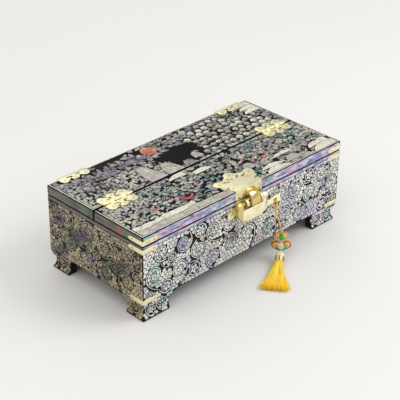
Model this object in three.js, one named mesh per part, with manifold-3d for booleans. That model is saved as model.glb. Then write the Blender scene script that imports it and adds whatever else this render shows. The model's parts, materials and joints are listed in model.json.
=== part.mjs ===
// Lacquered jewelry box with mother-of-pearl inlay: a low case on four bracket feet, a lid in two hinged
// leaves, brass fittings, and a sliding fish-tail lock with a silk tassel. Millimetres, +Z up, front at -Y.

import * as THREE from 'three';
import { mergeVertices } from 'three/addons/utils/BufferGeometryUtils.js';
import Module from 'manifold-3d';

const wasm = await Module();
wasm.setup();

// Case and feet
const caseLength = 280;
const caseDepth = 136.5;
const wallThickness = 9;
const wallHeight = 63.25;
const baseThickness = 5;
const footHeight = 20.5;
const footThickness = 11;
const footFrontTop = 48;
const footFrontToe = 35;
const footSideTop = 37;
const footSideToe = 25;
const footStraightHeight = 10;
const footWaistInset = 3.75;
const footToeInset = 1.25;
const footWaistHeight = 12;
const footPlinthHeight = 2;
const footNeckInset = 0.3;
const footCurveSegments = 10;

// Lid
const lidThickness = 10.25;
const lidGap = 0.5;
const lidEdgeBevel = 0.8;
const lidBevelSteps = 2;
const seamY = -0.5;
const seamGap = 0.7;

// Inside of the lid
const mirrorThickness = 1.6;
const mirrorFrameThickness = 3;
const mirrorFrameWidth = 7;
const mirrorLip = 1;
const linerPadThickness = 1.5;
const linerEdge = 3.5;

// Inside of the case
const floorPadThickness = 1.5;
const dividerThickness = 3;
const dividerHeight = 44;
const dividerY = 8;
const rearBayShare = 3;
const ringBedLength = 168;
const ringBedHeight = 26;
const ringRollHeight = 13;
const ringRollCount = 5;
const ringSlit = 0.8;

// Clearances
const glueLine = 0.05;
const softGap = 0.3;
const runningGap = 0.3;

// How far one solid reaches into another where they are welded, and a cutter past what it cuts
const overrun = 1;

// Brass sheet and hinges
const sheet = 0.8;
const hingeWidth = 36;
const hingeEndInset = 30;
const knuckleRadius = 1.3;
const knuckleLift = 1.5;
const knuckleCount = 5;
const knuckleSideGap = 0.25;
const pinRadius = 0.6;
const boreRadius = 0.8;
const pinHeadRadius = 1.2;
const pinHeadLength = 0.8;
const pinCrownShare = 0.7;
const midLeafDepth = 14;
const rearTopLeafDepth = 11.5;
const rearLowerLeafDepth = 20;

// Cloud edge of a hinge leaf: lobes as shares of the hinge's width, heights as shares of the leaf's depth
const leafLobeShare = 1 / 7;
const leafShoulderShare = 0.3;
const leafSideLobeShare = 0.55;
const leafValleyShare = 0.62;
const leafValleyReach = 1.1;
const leafSideLobeStart = 0.4;
const leafSideLobeEnd = 2.1;
const leafMiddleLobeDip = 0.1;
const leafHoleReach = 1.35;
const leafHoleShare = 0.36;
const leafHoleRadiusShare = 0.22;

// Brass corner strips
const stripHeight = 4.75;
const stripArm = 20;
const stripPoint = 4;
const stripSheet = 0.6;
const lidStripRise = 1.25;
const topStripDrop = 2.75;

// Hasp on the front leaf
const haspWidth = 37;
const haspDepth = 33;
const haspLobeX = 21;
const haspLobeRadius = 5.5;
const haspEdgeDrop = 0.25;
const hookCentreX = 2;
const hookLength = 12;
const hookThickness = 1.6;
const hookRise = 11.5;
const hookLipDrop = 2.5;

// Cloud edge of the hasp and of the lock plate, as shares of the side lobe's reach and radius
const cloudMiddleShare = 1.2;
const cloudInnerAngle = 2.2;
const cloudNeckAngle = 0.2;
const cloudDipReach = 0.62;
const cloudDipRise = 0.2;
const cloudWaistShare = 0.4;
const piercingOuterReach = 0.62;
const piercingInnerReach = 0.3;
const piercingRise = 0.25;
const piercingOuterTilt = 0.6;
const piercingInnerTilt = 0.3;
const piercingLengthShare = 0.32;
const piercingWidthShare = 0.2;

// Lock plate and staples on the case
const lockPlateWidth = 37;
const lockPlateHeight = 23;
const lockPlateLobeX = 24;
const lockPlateLobeRadius = 5;
const lockPlateEdge = 0.75;
const stapleRadius = 4.3;
const stapleBore = 2.5;
const stapleThickness = 2.5;
const stapleGap = 3;

// Sliding lock
const barRadius = 2;
const barDrop = 3.75;
const lockBodyThickness = 5;
const lockBodyDrop = 6;
const lockBodyHeight = 14;
const lockEndThickness = 7;
const lockSocketLength = 6;
const lockSocketGap = 1.3;
const lockBoreGap = 0.25;
const lockTailLength = 21;
const lockTailWidth = 7;
const lockTailThickness = 2.4;
const lockTailRise = 1;
const tailHoleRadius = 2;
const headLength = 6.5;
const headGap = 5;
const headBow = 4.5;
const headDrop = 17;
const guideRodRadius = 1;
const guideRodDrop = 12;
const guideRodLength = 30;
const endWall = 1.2;
const bellyCornerShare = 1 / 3;
const bellyCornerReach = 1;

// Fish tail of the lock, as shares of half its width
const tailNeckShare = 0.7;
const finLowReach = 0.8;
const finLowDrop = 1.5;
const finNotchReach = 0.3;
const finNotchDrop = 0.2;
const finHighRise = 1.2;

// Tassel
const cordRadius = 0.8;
const cordSides = 8;
const cordStepShare = 2.5;
const loopDrop = 10;
const loopReach = 2.6;
const loopFootShare = 1.3;
const loopShoulderShare = 0.8;
const knotRadius = 1.9;
const knotAside = 0.4;
const knotForward = 1.6;
const cordDrop = 23;
const cordUpperShare = 0.25;
const cordUpperFall = 0.35;
const cordLowerShare = 0.7;
const flowerAside = 3;
const flowerForward = 8.8;
const flowerWidth = 16;
const flowerHeight = 11;
const flowerThickness = 1.4;
const flowerPetals = 8;
const flowerPetalDepth = 0.22;
const flowerPetalSteps = 6;
const greenBeadRadius = 2.8;
const mainBeadWidth = 20;
const mainBeadHeight = 12;
const mainBeadThickness = 9;
const capLength = 10;
const capRadius = 4.6;
const capNeckLength = 2;
const capNeckRadius = 1.5;
const capTilt = Math.PI / 6;
const capNeckStraight = 0.6;
const capShoulderRise = 1.2;
const capShoulderShare = 0.85;
const capBellyRise = 0.3;
const capWaistRise = 0.6;
const capWaistShare = 0.9;
const capSteps = 12;
const neckTilt = THREE.MathUtils.degToRad(53);
const skirtLength = 48;
const skirtStartRadius = 4.9;
const skirtEndWidth = 31;
const skirtEndThickness = 5;
const skirtFloorGap = 0.3;
const skirtRings = 8;
const skirtFlare = 1.4;
const skirtBendShare = 1 / 3;
const skirtTurn = THREE.MathUtils.degToRad(36);

const bothSides = [['left', -1], ['right', 1]];
const rightAngle = Math.PI / 2;
const roundSegments = 32;
const smallSegments = 16;
const knuckleSegments = 16;
const headSegments = 12;
const bodySegments = 10;
const plateSegments = 8;
const leafSegments = 6;
const stripSegments = 4;

// Sizes that follow from the ones above
const halfLength = caseLength / 2;
const halfDepth = caseDepth / 2;
const caseTop = footHeight + wallHeight;
const lidBottom = caseTop + lidGap;
const lidTop = lidBottom + lidThickness;
const innerHalfLength = halfLength - wallThickness;
const innerHalfDepth = halfDepth - wallThickness;
const baseTop = footHeight + baseThickness;
const floorTop = baseTop + glueLine + floorPadThickness;
const hingeCentreX = halfLength - hingeEndInset;
const midAxisZ = lidTop + knuckleLift;
const rearAxisY = halfDepth + knuckleLift;
const rearAxisZ = caseTop + lidGap / 2;
const plateFront = -halfDepth - sheet;
const lockEndRadius = lockEndThickness / 2;
const barY = plateFront - lockEndRadius - runningGap;
const barZ = caseTop - barDrop;
const hookInner = barRadius + hookThickness;
const hookOuter = hookInner + hookThickness;
const stapleOffset = (hookLength + stapleThickness) / 2 + stapleGap;
const stapleOuter = stapleOffset + stapleThickness / 2;
const socketStartX = hookCentreX + stapleOuter + lockSocketGap;
const socketEndX = socketStartX + lockSocketLength;
const headEndX = hookCentreX - stapleOuter - headGap;
const headStartX = headEndX - headLength;
const bodyTopZ = barZ - lockBodyDrop;
const bodyBottomZ = bodyTopZ - lockBodyHeight;
const tailEndX = socketEndX + lockTailLength;
const tailZ = (bodyTopZ + bodyBottomZ) / 2 + lockTailRise;
const tailHoleX = tailEndX - lockTailWidth;

const lacquer = finish(0x14110f, 0.22, 0);
const innerLacquer = finish(0x1a1210, 0.4, 0);
const brass = finish(0xe9d77a, 0.2, 1);
const brassPin = finish(0xd8bf5e, 0.28, 1);
const velvet = finish(0x6d1220, 0.95, 0);
const mirrorGlass = finish(0xdfe6ea, 0.03, 1);
const goldCord = finish(0xe2a21c, 0.7, 0);
const silk = finish(0xf2b21e, 0.6, 0);
const jade = finish(0x1f8f43, 0.25, 0);
const enamel = finish(0xd98a2b, 0.3, 0);

const box = new THREE.Group();
const caseGroup = new THREE.Group();
const rearLeafGroup = new THREE.Group();
const frontLeafGroup = new THREE.Group();
const lockGroup = new THREE.Group();
const tasselGroup = new THREE.Group();
box.add(caseGroup, rearLeafGroup, frontLeafGroup, lockGroup, tasselGroup);

buildCase();
buildInside();
buildFeet();
buildLid();
buildCornerStrips();
buildMidHinges();
buildRearHinges();
buildHasp();
buildLockPlate();
buildLock();
buildTassel();

// The origin is under the middle of the box with its fittings: the lock reaches out in front and the
// hinge knuckles behind, so the case sits a little behind the middle.
const frontReach = hookOuter - barY;
const backReach = rearAxisY + knuckleRadius;
box.position.y = (frontReach - backReach) / 2;

// Shared helpers

function finish(color, roughness, metalness) {
  return new THREE.MeshStandardMaterial({ color, roughness, metalness });
}

function place(group, name, geometry, material, x = 0, y = 0, z = 0, turn = 0) {
  const mesh = new THREE.Mesh(geometry, material);
  mesh.name = name;
  mesh.position.set(x, y, z);
  mesh.rotation.z = turn;
  group.add(mesh);
  return mesh;
}

function toSolid(geometry) {
  const bare = geometry.clone();
  bare.deleteAttribute('normal');
  bare.deleteAttribute('uv');
  const merged = mergeVertices(bare);
  return new wasm.Manifold(new wasm.Mesh({
    numProp: 3,
    vertProperties: new Float32Array(merged.attributes.position.array),
    triVerts: new Uint32Array(merged.index.array),
  }));
}

function toGeometry(solid) {
  const mesh = solid.getMesh();
  const geometry = new THREE.BufferGeometry();
  geometry.setAttribute('position', new THREE.BufferAttribute(mesh.vertProperties, 3));
  geometry.setIndex(new THREE.BufferAttribute(mesh.triVerts, 1));
  geometry.computeVertexNormals();
  return geometry;
}

function join(...geometries) {
  const solids = geometries.map(toSolid);
  return toGeometry(solids.reduce((whole, next) => whole.add(next)));
}

function cut(geometry, ...tools) {
  return toGeometry(tools.map(toSolid).reduce((whole, next) => whole.subtract(next), toSolid(geometry)));
}

function common(first, second) {
  return toGeometry(toSolid(first).intersect(toSolid(second)));
}

// A block given by its lowest and highest corners
function block(x0, y0, z0, x1, y1, z1) {
  const geometry = new THREE.BoxGeometry(x1 - x0, y1 - y0, z1 - z0);
  return geometry.translate((x0 + x1) / 2, (y0 + y1) / 2, (z0 + z1) / 2);
}

// An outline drawn in the plan view, standing up from z0 to z1
function standUp(shape, z0, z1, curveSegments = smallSegments) {
  const options = { depth: z1 - z0, bevelEnabled: false, curveSegments };
  return new THREE.ExtrudeGeometry(shape, options).translate(0, 0, z0);
}

// An outline drawn in the front view (X across, Z up), running from y0 back to y1
function runBack(shape, y0, y1, curveSegments = smallSegments) {
  const options = { depth: y1 - y0, bevelEnabled: false, curveSegments };
  return new THREE.ExtrudeGeometry(shape, options).rotateX(rightAngle).translate(0, y1, 0);
}

// An outline drawn in the side view (Y across, Z up), running from x0 to x1
function runAcross(shape, x0, x1, curveSegments = smallSegments) {
  const options = { depth: x1 - x0, bevelEnabled: false, curveSegments };
  const geometry = new THREE.ExtrudeGeometry(shape, options);
  return geometry.rotateX(rightAngle).rotateZ(rightAngle).translate(x0, 0, 0);
}

function rectangle(x0, y0, x1, y1) {
  const shape = new THREE.Shape();
  shape.moveTo(x0, y0);
  shape.lineTo(x1, y0);
  shape.lineTo(x1, y1);
  shape.lineTo(x0, y1);
  shape.closePath();
  return shape;
}

function disc(x, y, radius) {
  const shape = new THREE.Shape();
  shape.absarc(x, y, radius, 0, 2 * Math.PI, false);
  return shape;
}

// A round rod along X
function rodAcross(x0, x1, y, z, radius, segments = smallSegments) {
  const geometry = new THREE.CylinderGeometry(radius, radius, x1 - x0, segments);
  return geometry.rotateZ(rightAngle).translate((x0 + x1) / 2, y, z);
}

// Case

// One wall with its ends mitred at 45 degrees, its outer face at y = 0 and its length along X
function mitredWall(length) {
  const half = length / 2 - glueLine;
  const shape = new THREE.Shape();
  shape.moveTo(-half, 0);
  shape.lineTo(half, 0);
  shape.lineTo(half - wallThickness, wallThickness);
  shape.lineTo(-half + wallThickness, wallThickness);
  shape.closePath();
  return standUp(shape, footHeight, caseTop);
}

function buildCase() {
  place(caseGroup, 'case_front', mitredWall(caseLength), lacquer, 0, -halfDepth, 0);
  place(caseGroup, 'case_back', mitredWall(caseLength), lacquer, 0, halfDepth, 0, 2 * rightAngle);
  place(caseGroup, 'case_left', mitredWall(caseDepth), lacquer, -halfLength, 0, 0, -rightAngle);
  place(caseGroup, 'case_right', mitredWall(caseDepth), lacquer, halfLength, 0, 0, rightAngle);
  const x = innerHalfLength - glueLine;
  const y = innerHalfDepth - glueLine;
  place(caseGroup, 'case_base', block(-x, -y, footHeight, x, y, baseTop), innerLacquer);
}

// Ring cushions: a row of half-round rolls on a thin bed, with slits between them for the rings
function ringRolls(length, width) {
  const pitch = width / ringRollCount;
  const radius = (pitch - ringSlit) / 2;
  const straight = ringRollHeight - radius;
  const shape = new THREE.Shape();
  shape.moveTo(-width / 2, 0);
  shape.lineTo(width / 2, 0);
  for (let i = ringRollCount - 1; i >= 0; i -= 1) {
    const centre = -width / 2 + pitch * (i + 0.5);
    shape.lineTo(centre + radius, radius);
    shape.lineTo(centre + radius, straight);
    shape.absarc(centre, straight, radius, 0, Math.PI, false);
    shape.lineTo(centre - radius, radius);
  }
  shape.closePath();
  return runAcross(shape, -length / 2, length / 2, smallSegments / 2);
}

function buildInside() {
  const x = innerHalfLength - softGap;
  const y = innerHalfDepth - softGap;
  const top = floorTop + softGap + dividerHeight;
  const bottom = floorTop + glueLine;
  const floor = block(-x, -y, baseTop + glueLine, x, y, floorTop);
  place(caseGroup, 'floor_pad', floor, velvet);

  const dividerFront = dividerY - dividerThickness / 2;
  const dividerBack = dividerY + dividerThickness / 2;
  place(caseGroup, 'divider_long', block(-x, dividerFront, bottom, x, dividerBack, top), velvet);

  const bay = (2 * x) / rearBayShare;
  for (const [name, side] of bothSides) {
    const centre = side * bay / 2;
    const cross = block(centre - dividerThickness / 2, dividerBack + softGap, bottom,
      centre + dividerThickness / 2, y, top);
    place(caseGroup, `divider_rear_${name}`, cross, velvet);
  }

  const bedRight = -x + ringBedLength;
  const crossLeft = bedRight + softGap;
  const crossFront = block(crossLeft, -y, bottom, crossLeft + dividerThickness, dividerFront - softGap, top);
  place(caseGroup, 'divider_front', crossFront, velvet);

  const bedBack = dividerFront - softGap;
  const bedTop = bottom + ringBedHeight;
  place(caseGroup, 'ring_bed', block(-x, -y, bottom, bedRight, bedBack, bedTop), velvet);
  const rollLength = ringBedLength - 2 * softGap;
  const rollWidth = bedBack + y - 2 * softGap;
  place(caseGroup, 'ring_rolls', ringRolls(rollLength, rollWidth), velvet,
    -x + ringBedLength / 2, (bedBack - y) / 2, bedTop + softGap);
}

// Feet

// Outer edge of a foot seen from in front: a neck under the case, a waist and a flared toe, at distances
// in from the case's own corner. The returned shape runs along +X from that corner.
function footElevation(topLength, toeLength) {
  const top = footHeight - glueLine;
  const bend = footHeight - footStraightHeight;
  const middle = (top + footWaistHeight) / 2;
  const shape = new THREE.Shape();
  shape.moveTo(footToeInset, 0);
  shape.lineTo(toeLength, 0);
  shape.lineTo(toeLength + footToeInset, bend);
  shape.quadraticCurveTo(toeLength + footToeInset, top - footPlinthHeight, topLength, top);
  shape.lineTo(footNeckInset, top);
  shape.quadraticCurveTo(footNeckInset, middle, footWaistInset, footWaistHeight);
  shape.quadraticCurveTo(footWaistInset, footPlinthHeight * 2, footToeInset, footPlinthHeight);
  shape.closePath();
  return shape;
}

// Section through a foot wing: the same outer curve and a flat back
function footSection() {
  const top = footHeight - glueLine;
  const middle = (top + footWaistHeight) / 2;
  const shape = new THREE.Shape();
  shape.moveTo(footToeInset, 0);
  shape.lineTo(footThickness, 0);
  shape.lineTo(footThickness, top);
  shape.lineTo(footNeckInset, top);
  shape.quadraticCurveTo(footNeckInset, middle, footWaistInset, footWaistHeight);
  shape.quadraticCurveTo(footWaistInset, footPlinthHeight * 2, footToeInset, footPlinthHeight);
  shape.closePath();
  return shape;
}

// A bracket foot with its outer corner at x = y = 0, reaching along +X and +Y
function bracketFoot(alongX, alongXToe, alongY, alongYToe) {
  const wingX = common(
    runBack(footElevation(alongX, alongXToe), 0, footThickness, footCurveSegments),
    runAcross(footSection(), 0, alongX, footCurveSegments));
  const wingY = common(
    runAcross(footElevation(alongY, alongYToe), 0, footThickness, footCurveSegments),
    runBack(footSection(), 0, alongY, footCurveSegments));
  return join(wingX, wingY);
}

// On the front left and the back right the wing along X is the long one, on the other two corners the
// foot is turned a quarter, so its wings change places
function buildFeet() {
  const long = [footFrontTop, footFrontToe];
  const short = [footSideTop, footSideToe];
  const straight = bracketFoot(...long, ...short);
  const swapped = bracketFoot(...short, ...long);
  place(caseGroup, 'foot_front_left', straight, lacquer, -halfLength, -halfDepth, 0);
  place(caseGroup, 'foot_front_right', swapped, lacquer, halfLength, -halfDepth, 0, rightAngle);
  place(caseGroup, 'foot_back_right', straight.clone(), lacquer, halfLength, halfDepth, 0, 2 * rightAngle);
  place(caseGroup, 'foot_back_left', swapped.clone(), lacquer, -halfLength, halfDepth, 0, -rightAngle);
}

// Lid

// A lid leaf between two depths, with every edge bevelled
function lidLeaf(front, back) {
  const shape = rectangle(-halfLength + lidEdgeBevel, front + lidEdgeBevel,
    halfLength - lidEdgeBevel, back - lidEdgeBevel);
  const options = {
    depth: lidThickness - 2 * lidEdgeBevel,
    bevelEnabled: true,
    bevelThickness: lidEdgeBevel,
    bevelSize: lidEdgeBevel,
    bevelSegments: lidBevelSteps,
  };
  return new THREE.ExtrudeGeometry(shape, options).translate(0, 0, lidBottom + lidEdgeBevel);
}

function buildLid() {
  const frontBack = seamY - seamGap / 2;
  const rearFront = seamY + seamGap / 2;
  place(frontLeafGroup, 'lid_front_leaf', lidLeaf(-halfDepth, frontBack), lacquer);
  place(rearLeafGroup, 'lid_rear_leaf', lidLeaf(rearFront, halfDepth), lacquer);

  const x = innerHalfLength - linerEdge;
  const frameFront = -innerHalfDepth + linerEdge;
  const frameBack = frontBack - linerEdge;
  const frameTop = lidBottom - glueLine;
  const frameBottom = frameTop - mirrorFrameThickness;
  const pane = mirrorFrameWidth - mirrorLip;
  const glassTop = frameTop;
  const glassBottom = glassTop - mirrorThickness;
  const outer = block(-x, frameFront, frameBottom, x, frameBack, frameTop);
  const window = block(-x + mirrorFrameWidth, frameFront + mirrorFrameWidth, frameBottom - overrun,
    x - mirrorFrameWidth, frameBack - mirrorFrameWidth, frameTop + overrun);
  const rebate = block(-x + pane - softGap, frameFront + pane - softGap, glassBottom - softGap,
    x - pane + softGap, frameBack - pane + softGap, frameTop + overrun);
  place(frontLeafGroup, 'mirror_frame', cut(outer, window, rebate), innerLacquer);
  const glass = block(-x + pane, frameFront + pane, glassBottom, x - pane, frameBack - pane, glassTop);
  place(frontLeafGroup, 'mirror', glass, mirrorGlass);

  const pad = block(-x, rearFront + linerEdge, frameTop - linerPadThickness, x,
    innerHalfDepth - linerEdge, frameTop);
  place(rearLeafGroup, 'lid_liner', pad, velvet);
}

// Corner strips

// One arm of a strip seen square on, from its folded edge to its pointed end
function stripArmOutline(start) {
  const shoulder = stripArm - stripPoint;
  const middle = stripArm - stripPoint / 2;
  const shape = new THREE.Shape();
  shape.moveTo(start, 0);
  shape.lineTo(shoulder, 0);
  shape.quadraticCurveTo(middle, stripHeight / 4, stripArm, stripHeight / 2);
  shape.quadraticCurveTo(middle, 3 * stripHeight / 4, shoulder, stripHeight);
  shape.lineTo(start, stripHeight);
  shape.closePath();
  return shape;
}

// A strip folded round a vertical corner of the case, which stands at x = y = 0
function cornerStrip() {
  const outer = -stripSheet - glueLine;
  const arm = stripArmOutline(outer);
  return join(runBack(arm, outer, -glueLine, stripSegments), runAcross(arm, outer, -glueLine, stripSegments));
}

// Only the two front corners are bound with brass: at the case's bottom, at its top and on the lid
function buildCornerStrips() {
  for (const [name, side] of bothSides) {
    const x = side * halfLength;
    const y = -halfDepth;
    const turn = side < 0 ? 0 : rightAngle;
    const bottom = footHeight + glueLine;
    const top = caseTop - topStripDrop - stripHeight;
    const lid = lidBottom + lidStripRise;
    place(caseGroup, `strip_bottom_${name}`, cornerStrip(), brass, x, y, bottom, turn);
    place(caseGroup, `strip_top_${name}`, cornerStrip(), brass, x, y, top, turn);
    place(frontLeafGroup, `strip_lid_${name}`, cornerStrip(), brass, x, y, lid, turn);
  }
}

// Hinges

// The knuckle stations of a hinge along X, measured from its middle
function knuckleSpan(index) {
  const pitch = hingeWidth / knuckleCount;
  const start = -hingeWidth / 2 + index * pitch;
  return [start + knuckleSideGap / 2, start + pitch - knuckleSideGap / 2];
}

// The plan of a cloud-shaped hinge leaf: a straight side along the knuckles at y = 0 and three lobes
// reaching to y = depth. Small gaps between the lobes give the pierced, scrolled edge.
function leafOutline(depth) {
  const half = hingeWidth / 2;
  const lobe = hingeWidth * leafLobeShare;
  const shoulder = depth * leafShoulderShare;
  const sideLobe = depth * leafSideLobeShare;
  const valley = depth * leafValleyShare;
  const shape = new THREE.Shape();
  shape.moveTo(-half, 0);
  shape.lineTo(half, 0);
  shape.lineTo(half, shoulder);
  shape.absarc(half - lobe, sideLobe, lobe, -leafSideLobeStart, leafSideLobeEnd, false);
  shape.lineTo(lobe * leafValleyReach, valley);
  shape.absarc(0, depth - lobe, lobe, -leafMiddleLobeDip, Math.PI + leafMiddleLobeDip, false);
  shape.lineTo(-lobe * leafValleyReach, valley);
  shape.absarc(-half + lobe, sideLobe, lobe, Math.PI - leafSideLobeEnd, Math.PI + leafSideLobeStart, false);
  shape.lineTo(-half, shoulder);
  shape.closePath();
  for (const side of [-1, 1]) {
    const hole = new THREE.Path();
    hole.absarc(side * lobe * leafHoleReach, depth * leafHoleShare,
      lobe * leafHoleRadiusShare, 0, 2 * Math.PI, true);
    shape.holes.push(hole);
  }
  return shape;
}

// Gives a flat plate its knuckles of one parity, cuts it back clear of the others, and bores it for the
// pin. The plate lies on z = 0 and reaches along +Y from the axis at y = 0, z = knuckleLift.
function addKnuckles(plate, parity) {
  const barrel = rodAcross(-hingeWidth / 2, hingeWidth / 2, 0, knuckleLift, knuckleRadius, knuckleSegments);
  const reach = knuckleRadius + runningGap;
  const rooms = [];
  for (let i = 1 - parity; i < knuckleCount; i += 2) {
    const [start, end] = knuckleSpan(i);
    rooms.push(block(start - knuckleSideGap, -reach, -reach,
      end + knuckleSideGap, reach, knuckleLift + reach));
  }
  const bore = rodAcross(-hingeWidth, hingeWidth, 0, knuckleLift, boreRadius, knuckleSegments);
  return cut(join(plate, barrel), ...rooms, bore);
}

// A flat hinge leaf with its cloud-shaped edge
function hingeLeaf(depth, parity) {
  return addKnuckles(standUp(leafOutline(depth), glueLine, sheet, leafSegments), parity);
}

// The hinge pin with a button head at each end, along X
function hingePin() {
  const end = hingeWidth / 2 + knuckleSideGap;
  const profile = [
    new THREE.Vector2(0, -end - pinHeadLength),
    new THREE.Vector2(pinHeadRadius * pinCrownShare, -end - pinHeadLength),
    new THREE.Vector2(pinHeadRadius, -end - pinHeadLength / 2),
    new THREE.Vector2(pinHeadRadius, -end),
    new THREE.Vector2(pinRadius, -end),
    new THREE.Vector2(pinRadius, end),
    new THREE.Vector2(pinHeadRadius, end),
    new THREE.Vector2(pinHeadRadius, end + pinHeadLength / 2),
    new THREE.Vector2(pinHeadRadius * pinCrownShare, end + pinHeadLength),
    new THREE.Vector2(0, end + pinHeadLength),
  ];
  return new THREE.LatheGeometry(profile, knuckleSegments).rotateZ(rightAngle);
}

// Hinges between the two leaves, on top of the seam
function buildMidHinges() {
  for (const [name, side] of bothSides) {
    const x = side * hingeCentreX;
    const rear = hingeLeaf(midLeafDepth, 0);
    const front = hingeLeaf(midLeafDepth, 1);
    place(rearLeafGroup, `mid_hinge_rear_${name}`, rear, brass, x, seamY, lidTop);
    place(frontLeafGroup, `mid_hinge_front_${name}`, front, brass, x, seamY, lidTop, 2 * rightAngle);
    place(rearLeafGroup, `mid_hinge_pin_${name}`, hingePin(), brassPin, x, seamY, midAxisZ);
  }
}

// The upper leaf of a rear hinge: it climbs the lid's back edge from the axis and folds over onto the top.
// It is drawn lying down with the lid's top face at y = topDistance, then stood up.
function upperRearLeaf() {
  const topDistance = lidTop - rearAxisZ;
  const climb = block(-hingeWidth / 2, 0, glueLine, hingeWidth / 2, topDistance + sheet, sheet);
  const flap = standUp(leafOutline(rearTopLeafDepth), 0, sheet - glueLine, leafSegments);
  flap.rotateX(-rightAngle).translate(0, topDistance + glueLine, sheet);
  return addKnuckles(join(climb, flap), 1).rotateX(-rightAngle).rotateY(2 * rightAngle);
}

// Hinges behind the case: the lower leaf lies on the back, the upper one wraps the edge of the lid
function buildRearHinges() {
  for (const [name, side] of bothSides) {
    const x = side * hingeCentreX;
    const lower = hingeLeaf(rearLowerLeafDepth, 0).rotateX(-rightAngle);
    place(caseGroup, `rear_hinge_lower_${name}`, lower, brass, x, halfDepth, rearAxisZ);
    place(rearLeafGroup, `rear_hinge_upper_${name}`, upperRearLeaf(), brass, x, halfDepth, rearAxisZ);
    place(caseGroup, `rear_hinge_pin_${name}`, hingePin(), brassPin, x, rearAxisY, rearAxisZ);
  }
}

// Hasp

// A cloud-shaped plate in plan: a square foot at y = 0 that widens to side lobes and ends in a middle
// lobe, with two small piercings on each side
function cloudPlate(footWidth, depth, lobeX, lobeRadius) {
  const half = footWidth / 2;
  const middle = lobeRadius * cloudMiddleShare;
  const middleY = depth - middle;
  const lobeY = middleY - lobeRadius;
  const sideAngle = -rightAngle / 2;
  const dipX = lobeX * cloudDipReach;
  const dipY = lobeY + lobeRadius * cloudDipRise;
  const waist = lobeY * cloudWaistShare;
  const shape = new THREE.Shape();
  shape.moveTo(-half, 0);
  shape.lineTo(half, 0);
  shape.quadraticCurveTo(half, waist,
    lobeX + lobeRadius * Math.cos(sideAngle), lobeY + lobeRadius * Math.sin(sideAngle));
  shape.absarc(lobeX, lobeY, lobeRadius, sideAngle, cloudInnerAngle, false);
  shape.quadraticCurveTo(dipX, dipY,
    middle * Math.cos(cloudNeckAngle), middleY + middle * Math.sin(cloudNeckAngle));
  shape.absarc(0, middleY, middle, cloudNeckAngle, Math.PI - cloudNeckAngle, false);
  shape.quadraticCurveTo(-dipX, dipY,
    -lobeX - lobeRadius * Math.cos(cloudInnerAngle), lobeY + lobeRadius * Math.sin(cloudInnerAngle));
  shape.absarc(-lobeX, lobeY, lobeRadius, Math.PI - cloudInnerAngle, Math.PI - sideAngle, false);
  shape.quadraticCurveTo(-half, waist, -half, 0);
  shape.closePath();
  const rise = lobeRadius * piercingRise;
  for (const side of [-1, 1]) {
    const outerX = side * lobeX * piercingOuterReach;
    const innerX = side * lobeX * piercingInnerReach;
    shape.holes.push(piercing(outerX, lobeY - rise, lobeRadius, side * piercingOuterTilt));
    shape.holes.push(piercing(innerX, lobeY + rise, lobeRadius, side * piercingInnerTilt));
  }
  return shape;
}

// A small tilted oval hole, sized by the plate's side lobe
function piercing(x, y, lobeRadius, tilt) {
  const hole = new THREE.Path();
  const long = lobeRadius * piercingLengthShare;
  hole.absellipse(x, y, long, lobeRadius * piercingWidthShare, 0, 2 * Math.PI, true, tilt);
  return hole;
}

// The hook's side view: a rolled saddle that starts on the hasp's edge flap, arches over the lock bar and
// ends in a lip in front of it. It is open underneath, so the leaf can rise off the bar.
function hookProfile() {
  const root = plateFront - glueLine;
  const front = barY - hookOuter;
  const lip = barZ - hookLipDrop;
  const shape = new THREE.Shape();
  shape.moveTo(root, barZ + hookRise);
  shape.absellipse(root, barZ, root - front, hookRise, rightAngle, Math.PI, false, 0);
  shape.lineTo(front, lip);
  shape.lineTo(barY - hookInner, lip);
  shape.lineTo(barY - hookInner, barZ);
  shape.absarc(barY, barZ, hookInner, Math.PI, rightAngle / 2, true);
  shape.lineTo(root, lidBottom + haspEdgeDrop + sheet);
  shape.closePath();
  return shape;
}

function buildHasp() {
  const top = standUp(cloudPlate(haspWidth, haspDepth, haspLobeX, haspLobeRadius),
    lidTop + glueLine, lidTop + sheet, plateSegments).translate(0, plateFront, 0);
  const flap = block(-haspWidth / 2, plateFront, lidBottom + haspEdgeDrop,
    haspWidth / 2, -halfDepth - glueLine, lidTop + sheet);
  place(frontLeafGroup, 'hasp_plate', join(top, flap), brass);
  const hookStart = hookCentreX - hookLength / 2;
  const hook = runAcross(hookProfile(), hookStart, hookStart + hookLength, bodySegments);
  place(frontLeafGroup, 'hasp_hook', hook, brass);
}

// The plate on the case under the lock, a cloud that hangs from the case's top edge
function buildLockPlate() {
  const shape = cloudPlate(lockPlateWidth, lockPlateHeight, lockPlateLobeX, lockPlateLobeRadius);
  const plate = standUp(shape, 0, sheet - glueLine, plateSegments).rotateX(-rightAngle);
  place(caseGroup, 'lock_plate', plate, brass, 0, -halfDepth - sheet, caseTop - lockPlateEdge);
  for (const [name, side] of bothSides) {
    const x = hookCentreX + side * stapleOffset;
    place(caseGroup, `staple_${name}`, staple(), brass, x, 0, 0);
  }
}

// A loop for the lock bar, flattened where it is riveted to the plate
function staple() {
  const ring = rodAcross(-stapleThickness / 2, stapleThickness / 2, barY, barZ, stapleRadius, roundSegments);
  const bore = rodAcross(-stapleThickness, stapleThickness, barY, barZ, stapleBore, roundSegments);
  const behind = plateFront - glueLine;
  const beyond = block(-stapleThickness, behind, barZ - 2 * stapleRadius,
    stapleThickness, behind + 2 * stapleRadius, barZ + 2 * stapleRadius);
  return cut(ring, bore, beyond);
}

// Lock

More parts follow.
